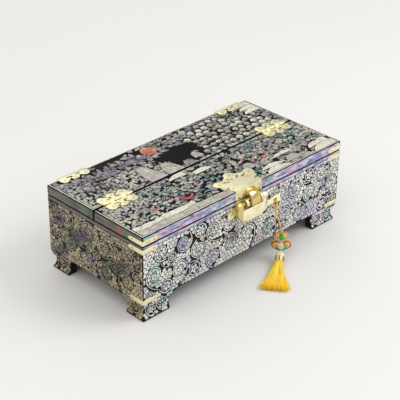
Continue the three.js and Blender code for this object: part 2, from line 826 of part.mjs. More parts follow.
// The front view of the lock body's boat-shaped belly and of the column that carries the socket
function bellyOutline() {
  const left = headEndX + runningGap;
  const middle = (left + socketEndX) / 2;
  const tailLow = tailZ - lockTailWidth / 2;
  const shape = new THREE.Shape();
  shape.moveTo(left, bodyTopZ);
  shape.lineTo(left, bodyBottomZ + lockBodyHeight * bellyCornerShare);
  shape.quadraticCurveTo(left + bellyCornerReach, bodyBottomZ, middle, bodyBottomZ);
  shape.quadraticCurveTo(socketStartX, bodyBottomZ, socketEndX, tailLow);
  shape.lineTo(socketEndX, barZ);
  shape.lineTo(socketStartX, barZ);
  shape.lineTo(socketStartX, bodyTopZ);
  shape.closePath();
  return shape;
}

// The front view of the tail: it narrows behind the belly and spreads to a notched fish's fin
function tailOutline() {
  const half = lockTailWidth / 2;
  const narrow = tailHoleX - lockTailWidth;
  const shape = new THREE.Shape();
  shape.moveTo(socketStartX, tailZ - half);
  shape.lineTo(socketEndX, tailZ - half);
  shape.quadraticCurveTo(narrow, tailZ - half * tailNeckShare, tailHoleX, tailZ - half);
  shape.lineTo(tailEndX + half * finLowReach, tailZ - half * finLowDrop);
  shape.quadraticCurveTo(tailEndX - half * finNotchReach, tailZ - half * finNotchDrop,
    tailEndX, tailZ + half * finHighRise);
  shape.quadraticCurveTo(tailHoleX, tailZ + half * finHighRise, narrow, tailZ + half * tailNeckShare);
  shape.lineTo(socketEndX, bodyTopZ - overrun);
  shape.lineTo(socketStartX, bodyTopZ - overrun);
  shape.closePath();
  return shape;
}

function lockBody() {
  const bellyHalf = lockBodyThickness / 2;
  const tailHalf = lockTailThickness / 2;
  const belly = runBack(bellyOutline(), barY - bellyHalf, barY + bellyHalf, bodySegments);
  const tail = runBack(tailOutline(), barY - tailHalf, barY + tailHalf, bodySegments);
  const socket = rodAcross(socketStartX, socketEndX, barY, barZ, lockEndRadius, roundSegments);
  const bore = rodAcross(socketStartX - overrun, socketEndX - endWall, barY, barZ, barRadius + lockBoreGap);
  const rodEnd = headEndX + guideRodLength + runningGap;
  const rodZ = barZ - guideRodDrop;
  const rodBore = rodAcross(headEndX - overrun, rodEnd, barY, rodZ, guideRodRadius + lockBoreGap);
  const hole = runBack(disc(tailHoleX, tailZ, tailHoleRadius), barY - bellyHalf, barY + bellyHalf);
  return cut(join(belly, tail, socket), bore, rodBore, hole);
}

// The front view of the shackle's end piece below the bar: a horn that bows out to the left
function headOutline() {
  const shape = new THREE.Shape();
  shape.moveTo(headEndX, barZ - headDrop);
  shape.lineTo(headEndX, barZ);
  shape.lineTo(headStartX, barZ);
  shape.quadraticCurveTo(headStartX - headBow, barZ - headDrop / 2, headEndX, barZ - headDrop);
  return shape;
}

function lockShackle() {
  const head = runBack(headOutline(), barY - lockEndRadius, barY + lockEndRadius, headSegments);
  const shoulder = rodAcross(headStartX, headEndX, barY, barZ, lockEndRadius, roundSegments);
  const barEnd = socketEndX - endWall - runningGap;
  const bar = rodAcross(headEndX - overrun, barEnd, barY, barZ, barRadius);
  const rodZ = barZ - guideRodDrop;
  const guide = rodAcross(headEndX - overrun, headEndX + guideRodLength, barY, rodZ, guideRodRadius);
  return join(head, shoulder, bar, guide);
}

function buildLock() {
  place(lockGroup, 'lock_body', lockBody(), brass);
  place(lockGroup, 'lock_shackle', lockShackle(), brass);
}

// Tassel

// The tassel hangs from the hole in the lock's tail until its big bead nearly reaches the table. The cap
// and the silk skirt lie on the table, pointing forward and to the left of the box.

function point(x, y, z) {
  return new THREE.Vector3(x, y, z);
}

// A tube with flat ends that follows a smooth curve through the points
function cordTube(points) {
  const curve = new THREE.CatmullRomCurve3(points);
  return new THREE.ExtrudeGeometry(disc(0, 0, cordRadius), {
    steps: Math.round(curve.getLength() / (cordStepShare * cordRadius)),
    extrudePath: curve,
    curveSegments: cordSides / 2,
    bevelEnabled: false,
  });
}

// Turns a solid whose own length runs along +Z into a given direction and moves it into place
function aim(geometry, direction, position) {
  const turn = new THREE.Quaternion().setFromUnitVectors(point(0, 0, 1), direction);
  return geometry.applyQuaternion(turn).translate(position.x, position.y, position.z);
}

// Faces a solid drawn in the front view towards the left front of the box
function faceLeftFront(geometry, position) {
  return geometry.rotateZ(-rightAngle / 2).translate(position.x, position.y, position.z);
}

// The two strands of the loop, up from the knot, through the tail's hole and down again
function loopPoints(hole, knot) {
  const top = hole.z + cordRadius / 2;
  const ends = knot.z + knotRadius + softGap;
  const near = cordRadius * loopFootShare;
  const shoulder = loopReach * loopShoulderShare;
  return [
    point(knot.x, knot.y + near, ends),
    point(knot.x, hole.y + loopReach, (ends + hole.z) / 2),
    point(hole.x, hole.y + shoulder, top - cordRadius),
    point(hole.x, hole.y, top),
    point(hole.x, hole.y - shoulder, top - cordRadius),
    point(knot.x, hole.y - loopReach, (ends + hole.z) / 2),
    point(knot.x, knot.y - near, ends),
  ];
}

// A flat flower with rounded petals, drawn in the front view about its middle
function flowerPlate() {
  const steps = flowerPetals * flowerPetalSteps;
  const points = [];
  for (let i = 0; i < steps; i += 1) {
    const angle = (2 * Math.PI * i) / steps;
    const petal = 1 - flowerPetalDepth * (1 - Math.abs(Math.cos(angle * flowerPetals / 2)));
    points.push(new THREE.Vector2(
      Math.cos(angle) * petal * flowerWidth / 2, Math.sin(angle) * petal * flowerHeight / 2));
  }
  return runBack(new THREE.Shape(points), -flowerThickness / 2, flowerThickness / 2);
}

// The tassel's cap: a ribbed ferrule with a small neck at its top, along +Z
function tasselCap() {
  const profile = new THREE.SplineCurve([
    new THREE.Vector2(capNeckRadius, 0),
    new THREE.Vector2(capNeckRadius, capNeckLength * capNeckStraight),
    new THREE.Vector2(capRadius * capShoulderShare, capNeckLength * capShoulderRise),
    new THREE.Vector2(capRadius, capNeckLength + capLength * capBellyRise),
    new THREE.Vector2(capRadius * capWaistShare, capNeckLength + capLength * capWaistRise),
    new THREE.Vector2(capRadius, capNeckLength + capLength),
  ]).getPoints(capSteps);
  const closed = [new THREE.Vector2(0, 0), ...profile, new THREE.Vector2(0, capNeckLength + capLength)];
  return new THREE.LatheGeometry(closed, roundSegments / 2).rotateX(rightAngle);
}

// The silk skirt: a loft from the round mouth of the cap, where it runs along the lean, to a flat and
// spread end that lies on the table
function tasselSkirt(start, end, lean) {
  const geometry = new THREE.CylinderGeometry(1, 1, 1, roundSegments, skirtRings);
  const heading = point(end.x - start.x, end.y - start.y, 0).normalize();
  const across = point(-heading.y, heading.x, 0);
  const position = geometry.attributes.position;
  for (let i = 0; i < position.count; i += 1) {
    const along = 0.5 - position.getY(i);
    const spread = Math.pow(along, skirtFlare);
    const halfWidth = THREE.MathUtils.lerp(skirtStartRadius, skirtEndWidth / 2, spread);
    const halfHeight = THREE.MathUtils.lerp(skirtStartRadius, skirtEndThickness / 2, along);
    const run = lean.clone().lerp(heading, Math.min(1, along / skirtBendShare)).normalize();
    const up = run.clone().cross(across).normalize();
    const centre = start.clone().lerp(end, along);
    centre.z = Math.max(centre.z, skirtFloorGap + halfHeight);
    centre.addScaledVector(across, position.getX(i) * halfWidth);
    centre.addScaledVector(up, position.getZ(i) * halfHeight);
    position.setXYZ(i, centre.x, centre.y, centre.z);
  }
  return geometry;
}

function buildTassel() {
  const hole = point(tailHoleX, barY, tailZ);
  const knot = point(hole.x + knotAside, hole.y - knotForward, hole.z - loopDrop);
  const flowerZ = knot.z - knotRadius - cordDrop - flowerHeight / 2;
  const flower = point(hole.x + flowerAside, hole.y - flowerForward, flowerZ);
  const heading = point(-Math.cos(skirtTurn), -Math.sin(skirtTurn), 0);

  place(tasselGroup, 'tassel_loop', cordTube(loopPoints(hole, knot)), goldCord);
  const ball = new THREE.SphereGeometry(knotRadius, smallSegments, smallSegments / 2);
  place(tasselGroup, 'tassel_knot', ball, goldCord, knot.x, knot.y, knot.z);

  const cordTop = knot.z - knotRadius - softGap;
  const cordEnd = flower.z + flowerHeight / 2 + softGap;
  const fall = cordTop - cordEnd;
  const upper = knot.clone().lerp(flower, cordUpperShare).setZ(cordTop - fall * cordUpperFall);
  const lower = knot.clone().lerp(flower, cordLowerShare).setZ(cordTop - fall * cordLowerShare);
  const cord = cordTube([knot.clone().setZ(cordTop), upper, lower, flower.clone().setZ(cordEnd)]);
  place(tasselGroup, 'tassel_cord', cord, goldCord);

  place(tasselGroup, 'tassel_flower', faceLeftFront(flowerPlate(), flower), brass);
  const beadReach = flowerThickness / 2 + greenBeadRadius + softGap;
  const beadAway = point(-beadReach, -beadReach, 0).multiplyScalar(Math.SQRT1_2).add(flower);
  const greenBead = new THREE.SphereGeometry(greenBeadRadius, smallSegments, smallSegments / 2);
  place(tasselGroup, 'tassel_green_bead', greenBead, jade, beadAway.x, beadAway.y, beadAway.z);

  const mainBeadDrop = (flowerHeight + mainBeadHeight) / 2 + softGap;
  const mainBead = point(flower.x, flower.y, flower.z - mainBeadDrop);
  const bead = new THREE.SphereGeometry(1, roundSegments, smallSegments);
  bead.scale(mainBeadWidth / 2, mainBeadThickness / 2, mainBeadHeight / 2);
  place(tasselGroup, 'tassel_main_bead', faceLeftFront(bead, mainBead), enamel);

  const lean = heading.clone().multiplyScalar(Math.cos(capTilt)).setZ(-Math.sin(capTilt));
  const under = heading.clone().multiplyScalar(Math.cos(neckTilt)).setZ(-Math.sin(neckTilt));
  const neckStart = mainBead.clone().addScaledVector(under, mainBeadHeight / 2 + softGap);
  place(tasselGroup, 'tassel_cap', aim(tasselCap(), lean, neckStart), brass);

  const capTotal = capNeckLength + capLength;
  const skirtStart = neckStart.clone().addScaledVector(lean, capTotal + softGap);
  const skirtEnd = skirtStart.clone().addScaledVector(heading, skirtLength);
  skirtEnd.z = skirtFloorGap + skirtEndThickness / 2;
  place(tasselGroup, 'tassel_skirt', tasselSkirt(skirtStart, skirtEnd, lean), silk);
}

export default box;
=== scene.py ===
"""Looks of a lacquered jewelry box: pearl-inlaid walls and lid, brass fittings, velvet inside, silk tassel."""

import json
import logging
import math
import random
from contextlib import contextmanager
from dataclasses import dataclass
from enum import Enum
from typing import Callable, Iterable, Iterator, Sequence

import bpy
import numpy as np
from mathutils import Matrix, Vector
from mathutils import noise as noise_field
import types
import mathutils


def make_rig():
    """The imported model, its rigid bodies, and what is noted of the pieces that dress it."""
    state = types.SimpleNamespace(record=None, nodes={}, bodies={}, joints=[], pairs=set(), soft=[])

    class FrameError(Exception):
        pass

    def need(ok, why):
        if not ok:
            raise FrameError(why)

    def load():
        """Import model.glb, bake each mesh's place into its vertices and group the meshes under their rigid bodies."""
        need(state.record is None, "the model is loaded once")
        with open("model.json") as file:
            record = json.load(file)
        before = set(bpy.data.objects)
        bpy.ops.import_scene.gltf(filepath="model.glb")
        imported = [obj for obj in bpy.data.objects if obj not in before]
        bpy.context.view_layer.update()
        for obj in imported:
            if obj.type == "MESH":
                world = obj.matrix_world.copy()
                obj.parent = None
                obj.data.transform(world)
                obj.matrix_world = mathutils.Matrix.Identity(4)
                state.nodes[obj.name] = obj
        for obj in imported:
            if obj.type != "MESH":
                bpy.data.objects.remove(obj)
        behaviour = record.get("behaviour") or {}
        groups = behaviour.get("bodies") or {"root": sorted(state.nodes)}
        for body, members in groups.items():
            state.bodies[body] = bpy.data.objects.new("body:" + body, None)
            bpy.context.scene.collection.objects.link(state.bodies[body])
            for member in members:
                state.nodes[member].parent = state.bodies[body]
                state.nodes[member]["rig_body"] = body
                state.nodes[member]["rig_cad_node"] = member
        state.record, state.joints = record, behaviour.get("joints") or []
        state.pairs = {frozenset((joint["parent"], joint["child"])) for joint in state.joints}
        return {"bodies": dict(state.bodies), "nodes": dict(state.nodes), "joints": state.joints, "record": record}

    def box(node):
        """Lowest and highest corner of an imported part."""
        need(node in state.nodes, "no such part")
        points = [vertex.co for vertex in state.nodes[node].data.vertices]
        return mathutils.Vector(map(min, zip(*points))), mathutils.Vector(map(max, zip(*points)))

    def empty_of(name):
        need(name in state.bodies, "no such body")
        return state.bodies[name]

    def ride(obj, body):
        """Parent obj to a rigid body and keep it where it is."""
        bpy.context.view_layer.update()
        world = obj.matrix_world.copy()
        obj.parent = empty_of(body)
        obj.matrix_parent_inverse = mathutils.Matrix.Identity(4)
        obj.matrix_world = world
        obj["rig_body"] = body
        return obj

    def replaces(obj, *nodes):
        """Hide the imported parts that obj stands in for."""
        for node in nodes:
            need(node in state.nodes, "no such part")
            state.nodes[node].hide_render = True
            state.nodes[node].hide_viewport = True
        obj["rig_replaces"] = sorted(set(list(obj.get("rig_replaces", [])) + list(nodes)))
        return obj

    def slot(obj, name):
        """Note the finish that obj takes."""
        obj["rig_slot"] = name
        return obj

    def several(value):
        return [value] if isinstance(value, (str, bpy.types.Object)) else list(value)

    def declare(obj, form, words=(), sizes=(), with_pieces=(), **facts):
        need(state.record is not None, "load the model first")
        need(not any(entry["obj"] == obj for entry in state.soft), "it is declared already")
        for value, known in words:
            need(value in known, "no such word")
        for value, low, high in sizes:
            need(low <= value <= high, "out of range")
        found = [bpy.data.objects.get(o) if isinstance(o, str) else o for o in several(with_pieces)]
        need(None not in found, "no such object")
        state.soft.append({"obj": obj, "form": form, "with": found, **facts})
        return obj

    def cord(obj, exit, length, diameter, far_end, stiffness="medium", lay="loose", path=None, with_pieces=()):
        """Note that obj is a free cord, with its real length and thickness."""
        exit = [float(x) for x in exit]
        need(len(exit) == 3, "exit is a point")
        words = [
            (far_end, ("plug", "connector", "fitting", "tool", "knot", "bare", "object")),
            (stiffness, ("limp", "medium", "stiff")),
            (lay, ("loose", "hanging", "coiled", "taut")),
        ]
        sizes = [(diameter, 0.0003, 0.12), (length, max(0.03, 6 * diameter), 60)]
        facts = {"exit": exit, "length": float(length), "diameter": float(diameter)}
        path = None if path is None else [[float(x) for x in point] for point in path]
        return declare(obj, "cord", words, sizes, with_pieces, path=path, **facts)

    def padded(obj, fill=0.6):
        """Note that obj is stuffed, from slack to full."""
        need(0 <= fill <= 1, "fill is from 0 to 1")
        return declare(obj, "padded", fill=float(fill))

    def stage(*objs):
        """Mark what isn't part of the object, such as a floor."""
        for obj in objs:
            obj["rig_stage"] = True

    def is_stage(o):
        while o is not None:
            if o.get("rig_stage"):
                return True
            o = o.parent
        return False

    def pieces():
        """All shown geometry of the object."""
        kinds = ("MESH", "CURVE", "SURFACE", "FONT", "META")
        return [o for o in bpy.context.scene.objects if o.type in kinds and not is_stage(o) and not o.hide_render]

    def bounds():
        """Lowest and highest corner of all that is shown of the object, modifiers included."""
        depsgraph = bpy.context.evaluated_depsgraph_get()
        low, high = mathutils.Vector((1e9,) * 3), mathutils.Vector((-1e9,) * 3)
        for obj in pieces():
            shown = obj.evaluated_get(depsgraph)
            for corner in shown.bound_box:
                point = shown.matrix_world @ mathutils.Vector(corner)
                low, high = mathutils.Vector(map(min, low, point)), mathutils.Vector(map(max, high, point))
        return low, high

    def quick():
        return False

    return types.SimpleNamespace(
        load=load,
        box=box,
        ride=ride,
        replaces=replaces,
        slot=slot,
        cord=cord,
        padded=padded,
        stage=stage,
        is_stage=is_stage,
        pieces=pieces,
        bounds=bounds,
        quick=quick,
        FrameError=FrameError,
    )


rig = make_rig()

Piece = bpy.types.Object
Material = bpy.types.Material
Tree = bpy.types.NodeTree
Node = bpy.types.Node
Socket = bpy.types.NodeSocket
Sockets = bpy.types.bpy_prop_collection
Triple = tuple[float, float, float]
Colour = Triple
Outline = list[tuple[float, float]]
Stroke = list[Triple]
MM = 0.001
TURN = 2 * math.pi
SHELL_RISE = 0.08
SIZE_FILE = "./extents.json"
log = logging.getLogger("jewelry_box")


class Facing(Enum):
    """The ways a flat face of the box can look, as (right, up) seen from outside."""

    FRONT = ((1, 0, 0), (0, 0, 1))
    BACK = ((-1, 0, 0), (0, 0, 1))
    LEFT = ((0, -1, 0), (0, 0, 1))
    RIGHT = ((0, 1, 0), (0, 0, 1))
    TOP = ((1, 0, 0), (0, 1, 0))

    def place(self, origin: Vector) -> Matrix:
        """Gives the matrix that carries millimetres on the face to metres in the frame.

        Args:
            origin: The point of the face that has the coordinates 0, 0, in metres.

        Returns:
            A matrix whose third axis points out of the face.
        """
        right, up = (Vector(axis) for axis in self.value)
        out = right.cross(up)
        turned = Matrix((right, up, out)).transposed().to_4x4()
        return Matrix.Translation(origin) @ turned @ Matrix.Scale(MM, 4)


class Pearl(Enum):
    """Sorts of shell that the inlay is cut from, as (pale, second, third, fourth) colours."""

    CREAM = ((0.95, 0.95, 0.89), (0.88, 0.90, 0.83), (0.78, 0.74, 0.84), (0.68, 0.82, 0.78))
    # A darker, warmer copy of the pale wall shell: painted shade for the walls away from the lamps.
    KHAKI = ((0.56, 0.49, 0.30), (0.42, 0.37, 0.24), (0.24, 0.19, 0.18), (0.19, 0.22, 0.16))
    GREY = ((0.50, 0.49, 0.43), (0.36, 0.36, 0.34), (0.46, 0.40, 0.41), (0.30, 0.34, 0.31))
    SAND = ((0.60, 0.57, 0.46), (0.54, 0.51, 0.42), (0.52, 0.47, 0.43), (0.44, 0.46, 0.39))
    SEA = ((0.13, 0.24, 0.20), (0.27, 0.36, 0.31), (0.09, 0.15, 0.15), (0.38, 0.42, 0.37))
    TEAL = ((0.05, 0.24, 0.17), (0.11, 0.34, 0.26), (0.05, 0.16, 0.18), (0.26, 0.40, 0.34))
    PLUM = ((0.22, 0.18, 0.22), (0.35, 0.29, 0.35), (0.15, 0.14, 0.19), (0.42, 0.32, 0.36))
    VIOLET = ((0.26, 0.22, 0.38), (0.44, 0.38, 0.52), (0.18, 0.22, 0.38), (0.48, 0.32, 0.44))
    IRIS = ((0.50, 0.42, 0.66), (0.74, 0.78, 0.84), (0.14, 0.19, 0.44), (0.70, 0.36, 0.58))
    CLAY = ((0.38, 0.29, 0.29), (0.46, 0.38, 0.37), (0.28, 0.20, 0.24), (0.42, 0.20, 0.21))
    ROSE = ((0.48, 0.20, 0.26), (0.54, 0.36, 0.40), (0.32, 0.16, 0.28), (0.48, 0.12, 0.14))
    CORAL = ((0.56, 0.11, 0.05), (0.70, 0.30, 0.08), (0.42, 0.05, 0.06), (0.62, 0.42, 0.14))
    MOSS = ((0.74, 0.72, 0.56), (0.80, 0.78, 0.64), (0.56, 0.56, 0.42), (0.76, 0.72, 0.60))
    # A dark copy of the band shell: painted shade for the bands on the left and behind.
    UMBER = ((0.12, 0.11, 0.09), (0.18, 0.16, 0.13), (0.08, 0.06, 0.07), (0.05, 0.11, 0.07))


# Helpers for objects


def focus(piece: Piece) -> None:
    """Makes one object the only selected one and the active one."""
    bpy.ops.object.select_all(action="DESELECT")
    piece.select_set(True)
    bpy.context.view_layer.objects.active = piece


def named(name: str) -> Piece:
    """Names the active object and its data, and returns it."""
    piece = bpy.context.active_object
    piece.name = name
    piece.data.name = name
    return piece


def placed(name: str, data: bpy.types.ID) -> Piece:
    """Makes an object of its data and puts it into the scene."""
    piece = bpy.data.objects.new(name, data)
    bpy.context.scene.collection.objects.link(piece)
    return piece


def primitive(adder: Callable, name: str = "part", **sizes: object) -> Piece:
    """Adds one of Blender's basic meshes while nothing else is selected.

    Args:
        adder: Blender's operator for it.
        name: The name of the object and its mesh.
        sizes: The operator's own settings.

    Returns:
        The new object.
    """
    bpy.ops.object.select_all(action="DESELECT")
    adder(**sizes)
    return named(name)


@contextmanager
def editing(piece: Piece) -> Iterator[None]:
    """Opens an object's mesh for editing with all of it selected, and closes it again."""
    focus(piece)
    bpy.ops.object.mode_set(mode="EDIT")
    bpy.ops.mesh.select_all(action="SELECT")
    yield
    bpy.ops.object.mode_set(mode="OBJECT")


def settle(piece: Piece) -> None:
    """Moves an object's place, turn and scale into its mesh."""
    bpy.context.view_layer.update()
    piece.data.transform(piece.matrix_world)
    piece.matrix_world = Matrix.Identity(4)


def apply_modifier(piece: Piece, kind: str, **settings: object) -> None:
    """Adds a modifier, sets it and applies it.

    Args:
        piece: The object that is changed.
        kind: Blender's name of the modifier type.
        settings: The modifier's own properties.
    """
    focus(piece)
    modifier = piece.modifiers.new(kind.lower(), kind)
    for key, value in settings.items():
        setattr(modifier, key, value)
    bpy.ops.object.modifier_apply(modifier=modifier.name)


def tidy_mesh(piece: Piece, within: float) -> None:
    """Merges doubled points and turns all faces outwards.

    Args:
        piece: The object whose mesh is closed up.
        within: The distance under which points are merged, in the mesh's units.
    """
    with editing(piece):
        bpy.ops.mesh.remove_doubles(threshold=within)
        bpy.ops.mesh.normals_make_consistent(inside=False)


def smooth(piece: Piece, degrees: float = 35) -> None:
    """Shades an object smooth, apart from edges sharper than an angle."""
    focus(piece)
    bpy.ops.object.shade_smooth_by_angle(angle=math.radians(degrees))


def coat(piece: Piece, finish: "Finish") -> None:
    """Gives an object one finish and no other."""
    piece.data.materials.clear()
    piece.data.materials.append(finish.material())


def dress(piece: Piece, finish: "Finish", body: str, slot: str) -> Piece:
    """Gives a new piece its finish, the body it rides on and the record's slot.

    Args:
        piece: The new piece, with its place in its mesh.
        finish: Its only finish.
        body: The name of the moving body that carries it.
        slot: The material slot of the record.

    Returns:
        The same piece.
    """
    coat(piece, finish)
    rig.ride(piece, body)
    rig.slot(piece, slot)
    log.info("%s rides on %s, %d faces", piece.name, body, len(piece.data.polygons))
    return piece


def joined(pieces: Sequence[Piece], name: str) -> Piece:
    """Joins several objects into the first one and names it."""
    bpy.ops.object.select_all(action="DESELECT")
    for piece in pieces:
        piece.select_set(True)
    bpy.context.view_layer.objects.active = pieces[0]
    bpy.ops.object.join()
    return named(name)


def copy_of(piece: Piece, move: Matrix) -> Piece:
    """Copies an object with its own mesh and moves the copy's mesh.

    Args:
        piece: The object that is copied.
        move: The matrix that its points are carried by.

    Returns:
        The copy.
    """
    twin = placed(piece.name, piece.data.copy())
    twin.data.transform(move)
    return twin


def refined_copy(node: Piece, name: str, bevel: float) -> Piece:
    """Copies a solid of the frame, merges its loose triangles and rounds its sharp edges.

    Args:
        node: The solid that the copy stands for.
        name: The name of the copy.
        bevel: The width of the rounded edges, in metres.

    Returns:
        The copy, at the same place.
    """
    twin = placed(name, node.data.copy())
    with editing(twin):
        bpy.ops.mesh.remove_doubles(threshold=2e-6)
        bpy.ops.mesh.dissolve_limited(angle_limit=math.radians(0.5))
    apply_modifier(twin, "BEVEL", width=bevel, segments=2, limit_method="ANGLE",
                   angle_limit=math.radians(40), use_clamp_overlap=True)
    smooth(twin)
    return twin


# Helpers for flat work


def flat_plates(name: str, outlines: Iterable[Outline], thickness: float, place: Matrix) -> Piece:
    """Cuts thin closed plates that lie on a face.

    Args:
        name: The name of the object that holds them all.
        outlines: Closed outlines in millimetres, which may not cross each other.
        thickness: How far the plates stand proud, in millimetres.
        place: The matrix of the face.

    Returns:
        One mesh object with all the plates.
    """
    curve = bpy.data.curves.new(name, "CURVE")
    curve.dimensions = "2D"
    curve.fill_mode = "BOTH"
    curve.extrude = thickness / 2
    for outline in outlines:
        spline = curve.splines.new("POLY")
        spline.points.add(len(outline) - 1)
        spline.use_cyclic_u = True
        for knot, (x, y) in zip(spline.points, outline):
            knot.co = (x, y, 0, 1)
    return finished_curve(curve, Matrix.Translation((0, 0, thickness / 2)), place)


def stroke_work(name: str, strokes: Iterable[Stroke], rise: float, place: Matrix) -> Piece:
    """Lays tapering lines on a face, as low closed ridges.

    Args:
        name: The name of the object that holds them all.
        strokes: Lines of (x, y, half width) in millimetres.
        rise: The share of a line's half width by which it stands proud.
        place: The matrix of the face.

    Returns:
        One mesh object with all the lines.
    """
    curve = bpy.data.curves.new(name, "CURVE")
    curve.dimensions = "3D"
    curve.bevel_depth = 1
    curve.bevel_resolution = 0
    curve.use_fill_caps = True
    for stroke in strokes:
        spline = curve.splines.new("POLY")
        spline.points.add(len(stroke) - 1)
        for knot, (x, y, half) in zip(spline.points, stroke):
            knot.co = (x, y, 0, 1)
            knot.radius = half
    return finished_curve(curve, Matrix.Diagonal((1, 1, rise, 1)), place)


def finished_curve(curve: bpy.types.Curve, shape: Matrix, place: Matrix) -> Piece:
    """Turns a curve drawn in millimetres into a closed mesh in its place.

    Args:
        curve: The curve with all its outlines or lines.
        shape: A matrix used while the mesh is still flat and in millimetres.
        place: The matrix of the face that it lies on.

    Returns:
        The mesh object.
    """
    focus(placed(curve.name, curve))
    bpy.ops.object.convert(target="MESH")
    piece = named(curve.name)
    tidy_mesh(piece, 1e-4)
    piece.data.transform(place @ shape)
    return piece


# Node helpers


def add(tree: Tree, kind: str, inputs: dict | None = None, **settings: object) -> Node:
    """Adds a node, sets its options, and sets or joins its inputs.

    Args:
        tree: The tree that it is added to.
        kind: The node's type.
        inputs: A value or another node's output for each input, by name or number.
        settings: The node's own options.

    Returns:
        The node.
    """
    made = tree.nodes.new(kind)
    for key, value in settings.items():
        setattr(made, key, value)
    return feed(tree, made, inputs or {})


def feed(tree: Tree, node: Node, inputs: dict) -> Node:
    """Sets the inputs of a node, or joins them to other nodes.

    Args:
        tree: The tree that the node is in.
        node: The node.
        inputs: A value or another node's output for each input, by name or number.

    Returns:
        The same node.
    """
    for key, value in inputs.items():
        if isinstance(value, Socket):
            tree.links.new(value, node.inputs[key])
        else:
            node.inputs[key].default_value = value
    return node


def blend(tree: Tree, share: object, first: object, second: object,
          kind: str = "MIX") -> Socket:
    """Mixes two colours.

    Args:
        tree: The tree that it is added to.
        share: How much of the second, as a number or a socket.
        first: The first colour or its socket.
        second: The second colour or its socket.
        kind: The way they are mixed.

    Returns:
        The mixed colour's socket.
    """
    values = {0: share, 6: full(first), 7: full(second)}
    return add(tree, "ShaderNodeMix", values, data_type="RGBA", blend_type=kind).outputs[2]


def full(colour: object) -> object:
    """Gives a colour its fourth number, and leaves a socket as it is."""
    return (*colour, 1) if isinstance(colour, tuple) and len(colour) == 3 else colour


def ramp(tree: Tree, value: object, low: float, high: float,
         start: float = 0, end: float = 1) -> Socket:
    """Stretches a value smoothly from one span to another.

    Args:
        tree: The tree that it is added to.
        value: The value's socket.
        low: The value that gives start.
        high: The value that gives end.
        start: The result at low.
        end: The result at high.

    Returns:
        The result's socket.
    """
    values = {"Value": value, "From Min": low, "From Max": high, "To Min": start, "To Max": end}
    return add(tree, "ShaderNodeMapRange", values, interpolation_type="SMOOTHSTEP").outputs["Result"]


def calc(tree: Tree, kind: str, first: object, second: object = 0.0) -> Socket:
    """Adds a sum, product or other calculation of two values."""
    return add(tree, "ShaderNodeMath", {0: first, 1: second}, operation=kind).outputs[0]


def place_of(tree: Tree, scale: tuple[float, float, float] = (1, 1, 1)) -> Socket:
    """Gives the piece's own coordinates, stretched."""
    own = add(tree, "ShaderNodeTexCoord").outputs["Object"]
    return add(tree, "ShaderNodeMapping", {"Vector": own, "Scale": scale}).outputs["Vector"]


def noise(tree: Tree, place: object, scale: float, detail: float = 3) -> Socket:
    """Adds a cloudy pattern."""
    values = {"Vector": place, "Scale": scale, "Detail": detail}
    return add(tree, "ShaderNodeTexNoise", values).outputs[0]


@dataclass(frozen=True)
class Effect:
    """A node group that finishes share: its sockets, and the function that draws what lies between them."""

    name: str
    inputs: dict[str, str]
    outputs: dict[str, str]
    draw: Callable[[Tree, Sockets], dict[str, Socket]]

    def use(self, tree: Tree, inputs: dict) -> Sockets:
        """Places the group in a tree with its own values, and gives its outputs."""
        group = bpy.data.node_groups.get(self.name) or self.built()
        return add(tree, "ShaderNodeGroup", inputs, node_tree=group).outputs

    def built(self) -> Tree:
        """Makes the group.

        Returns:
            The group's tree.
        """
        tree = bpy.data.node_groups.new(self.name, "ShaderNodeTree")
        for way, sockets in (("INPUT", self.inputs), ("OUTPUT", self.outputs)):
            for key, kind in sockets.items():
                tree.interface.new_socket(key, in_out=way, socket_type=f"NodeSocket{kind}")
        drawn = self.draw(tree, tree.nodes.new("NodeGroupInput").outputs)
        feed(tree, tree.nodes.new("NodeGroupOutput"), drawn)
        return tree


def pearl_nodes(tree: Tree, give: Sockets) -> dict[str, Socket]:
    """Colours shell: wide clouds of four colours under fine silky streaks."""
    broad = add(tree, "ShaderNodeTexNoise", {"Vector": give["Place"], "Scale": give["Scale"], "Detail": 2.0})
    shift = add(tree, "ShaderNodeVectorMath", {0: give["Place"], 1: (0.31, 0.17, 0.23)}, operation="ADD")
    other = add(tree, "ShaderNodeTexNoise", {"Vector": shift.outputs[0], "Scale": give["Scale"], "Detail": 3.0})
    fine = add(tree, "ShaderNodeTexNoise",
               {"Vector": give["Place"], "Scale": calc(tree, "MULTIPLY", give["Scale"], 9.0),
                "Detail": 4.0, "Distortion": 1.5})
    first = blend(tree, ramp(tree, broad.outputs[0], 0.47, 0.57), give["Pale"], give["Second"])
    second = blend(tree, ramp(tree, other.outputs[0], 0.53, 0.61), first, give["Third"])
    third = blend(tree, ramp(tree, broad.outputs[0], 0.43, 0.37), second, give["Fourth"])
    streak = ramp(tree, fine.outputs[0], 0.3, 0.7, 0.62, 1.18)
    shade = add(tree, "ShaderNodeCombineColor", {"Red": streak, "Green": streak, "Blue": streak})
    result = blend(tree, 1.0, third, shade.outputs[0], "MULTIPLY")
    return {"Colour": result, "Streak": streak}


def joint_nodes(tree: Tree, give: Sockets) -> dict[str, Socket]:
    """Draws the dark joints between small bits of shell."""
    bend = add(tree, "ShaderNodeTexNoise",
               {"Vector": give["Place"], "Scale": calc(tree, "MULTIPLY", give["Scale"], 0.6), "Detail": 2.0})
    push = add(tree, "ShaderNodeVectorMath",
               {0: bend.outputs["Color"], "Scale": 0.004}, operation="SCALE").outputs[0]
    moved = add(tree, "ShaderNodeVectorMath", {0: give["Place"], 1: push}, operation="ADD").outputs[0]
    cells = add(tree, "ShaderNodeTexVoronoi", {"Vector": moved, "Scale": give["Scale"]},
                feature="DISTANCE_TO_EDGE").outputs["Distance"]
    near = calc(tree, "DIVIDE", cells, give["Width"])
    return {"Joint": ramp(tree, near, 0.6, 1.4, 1, 0)}


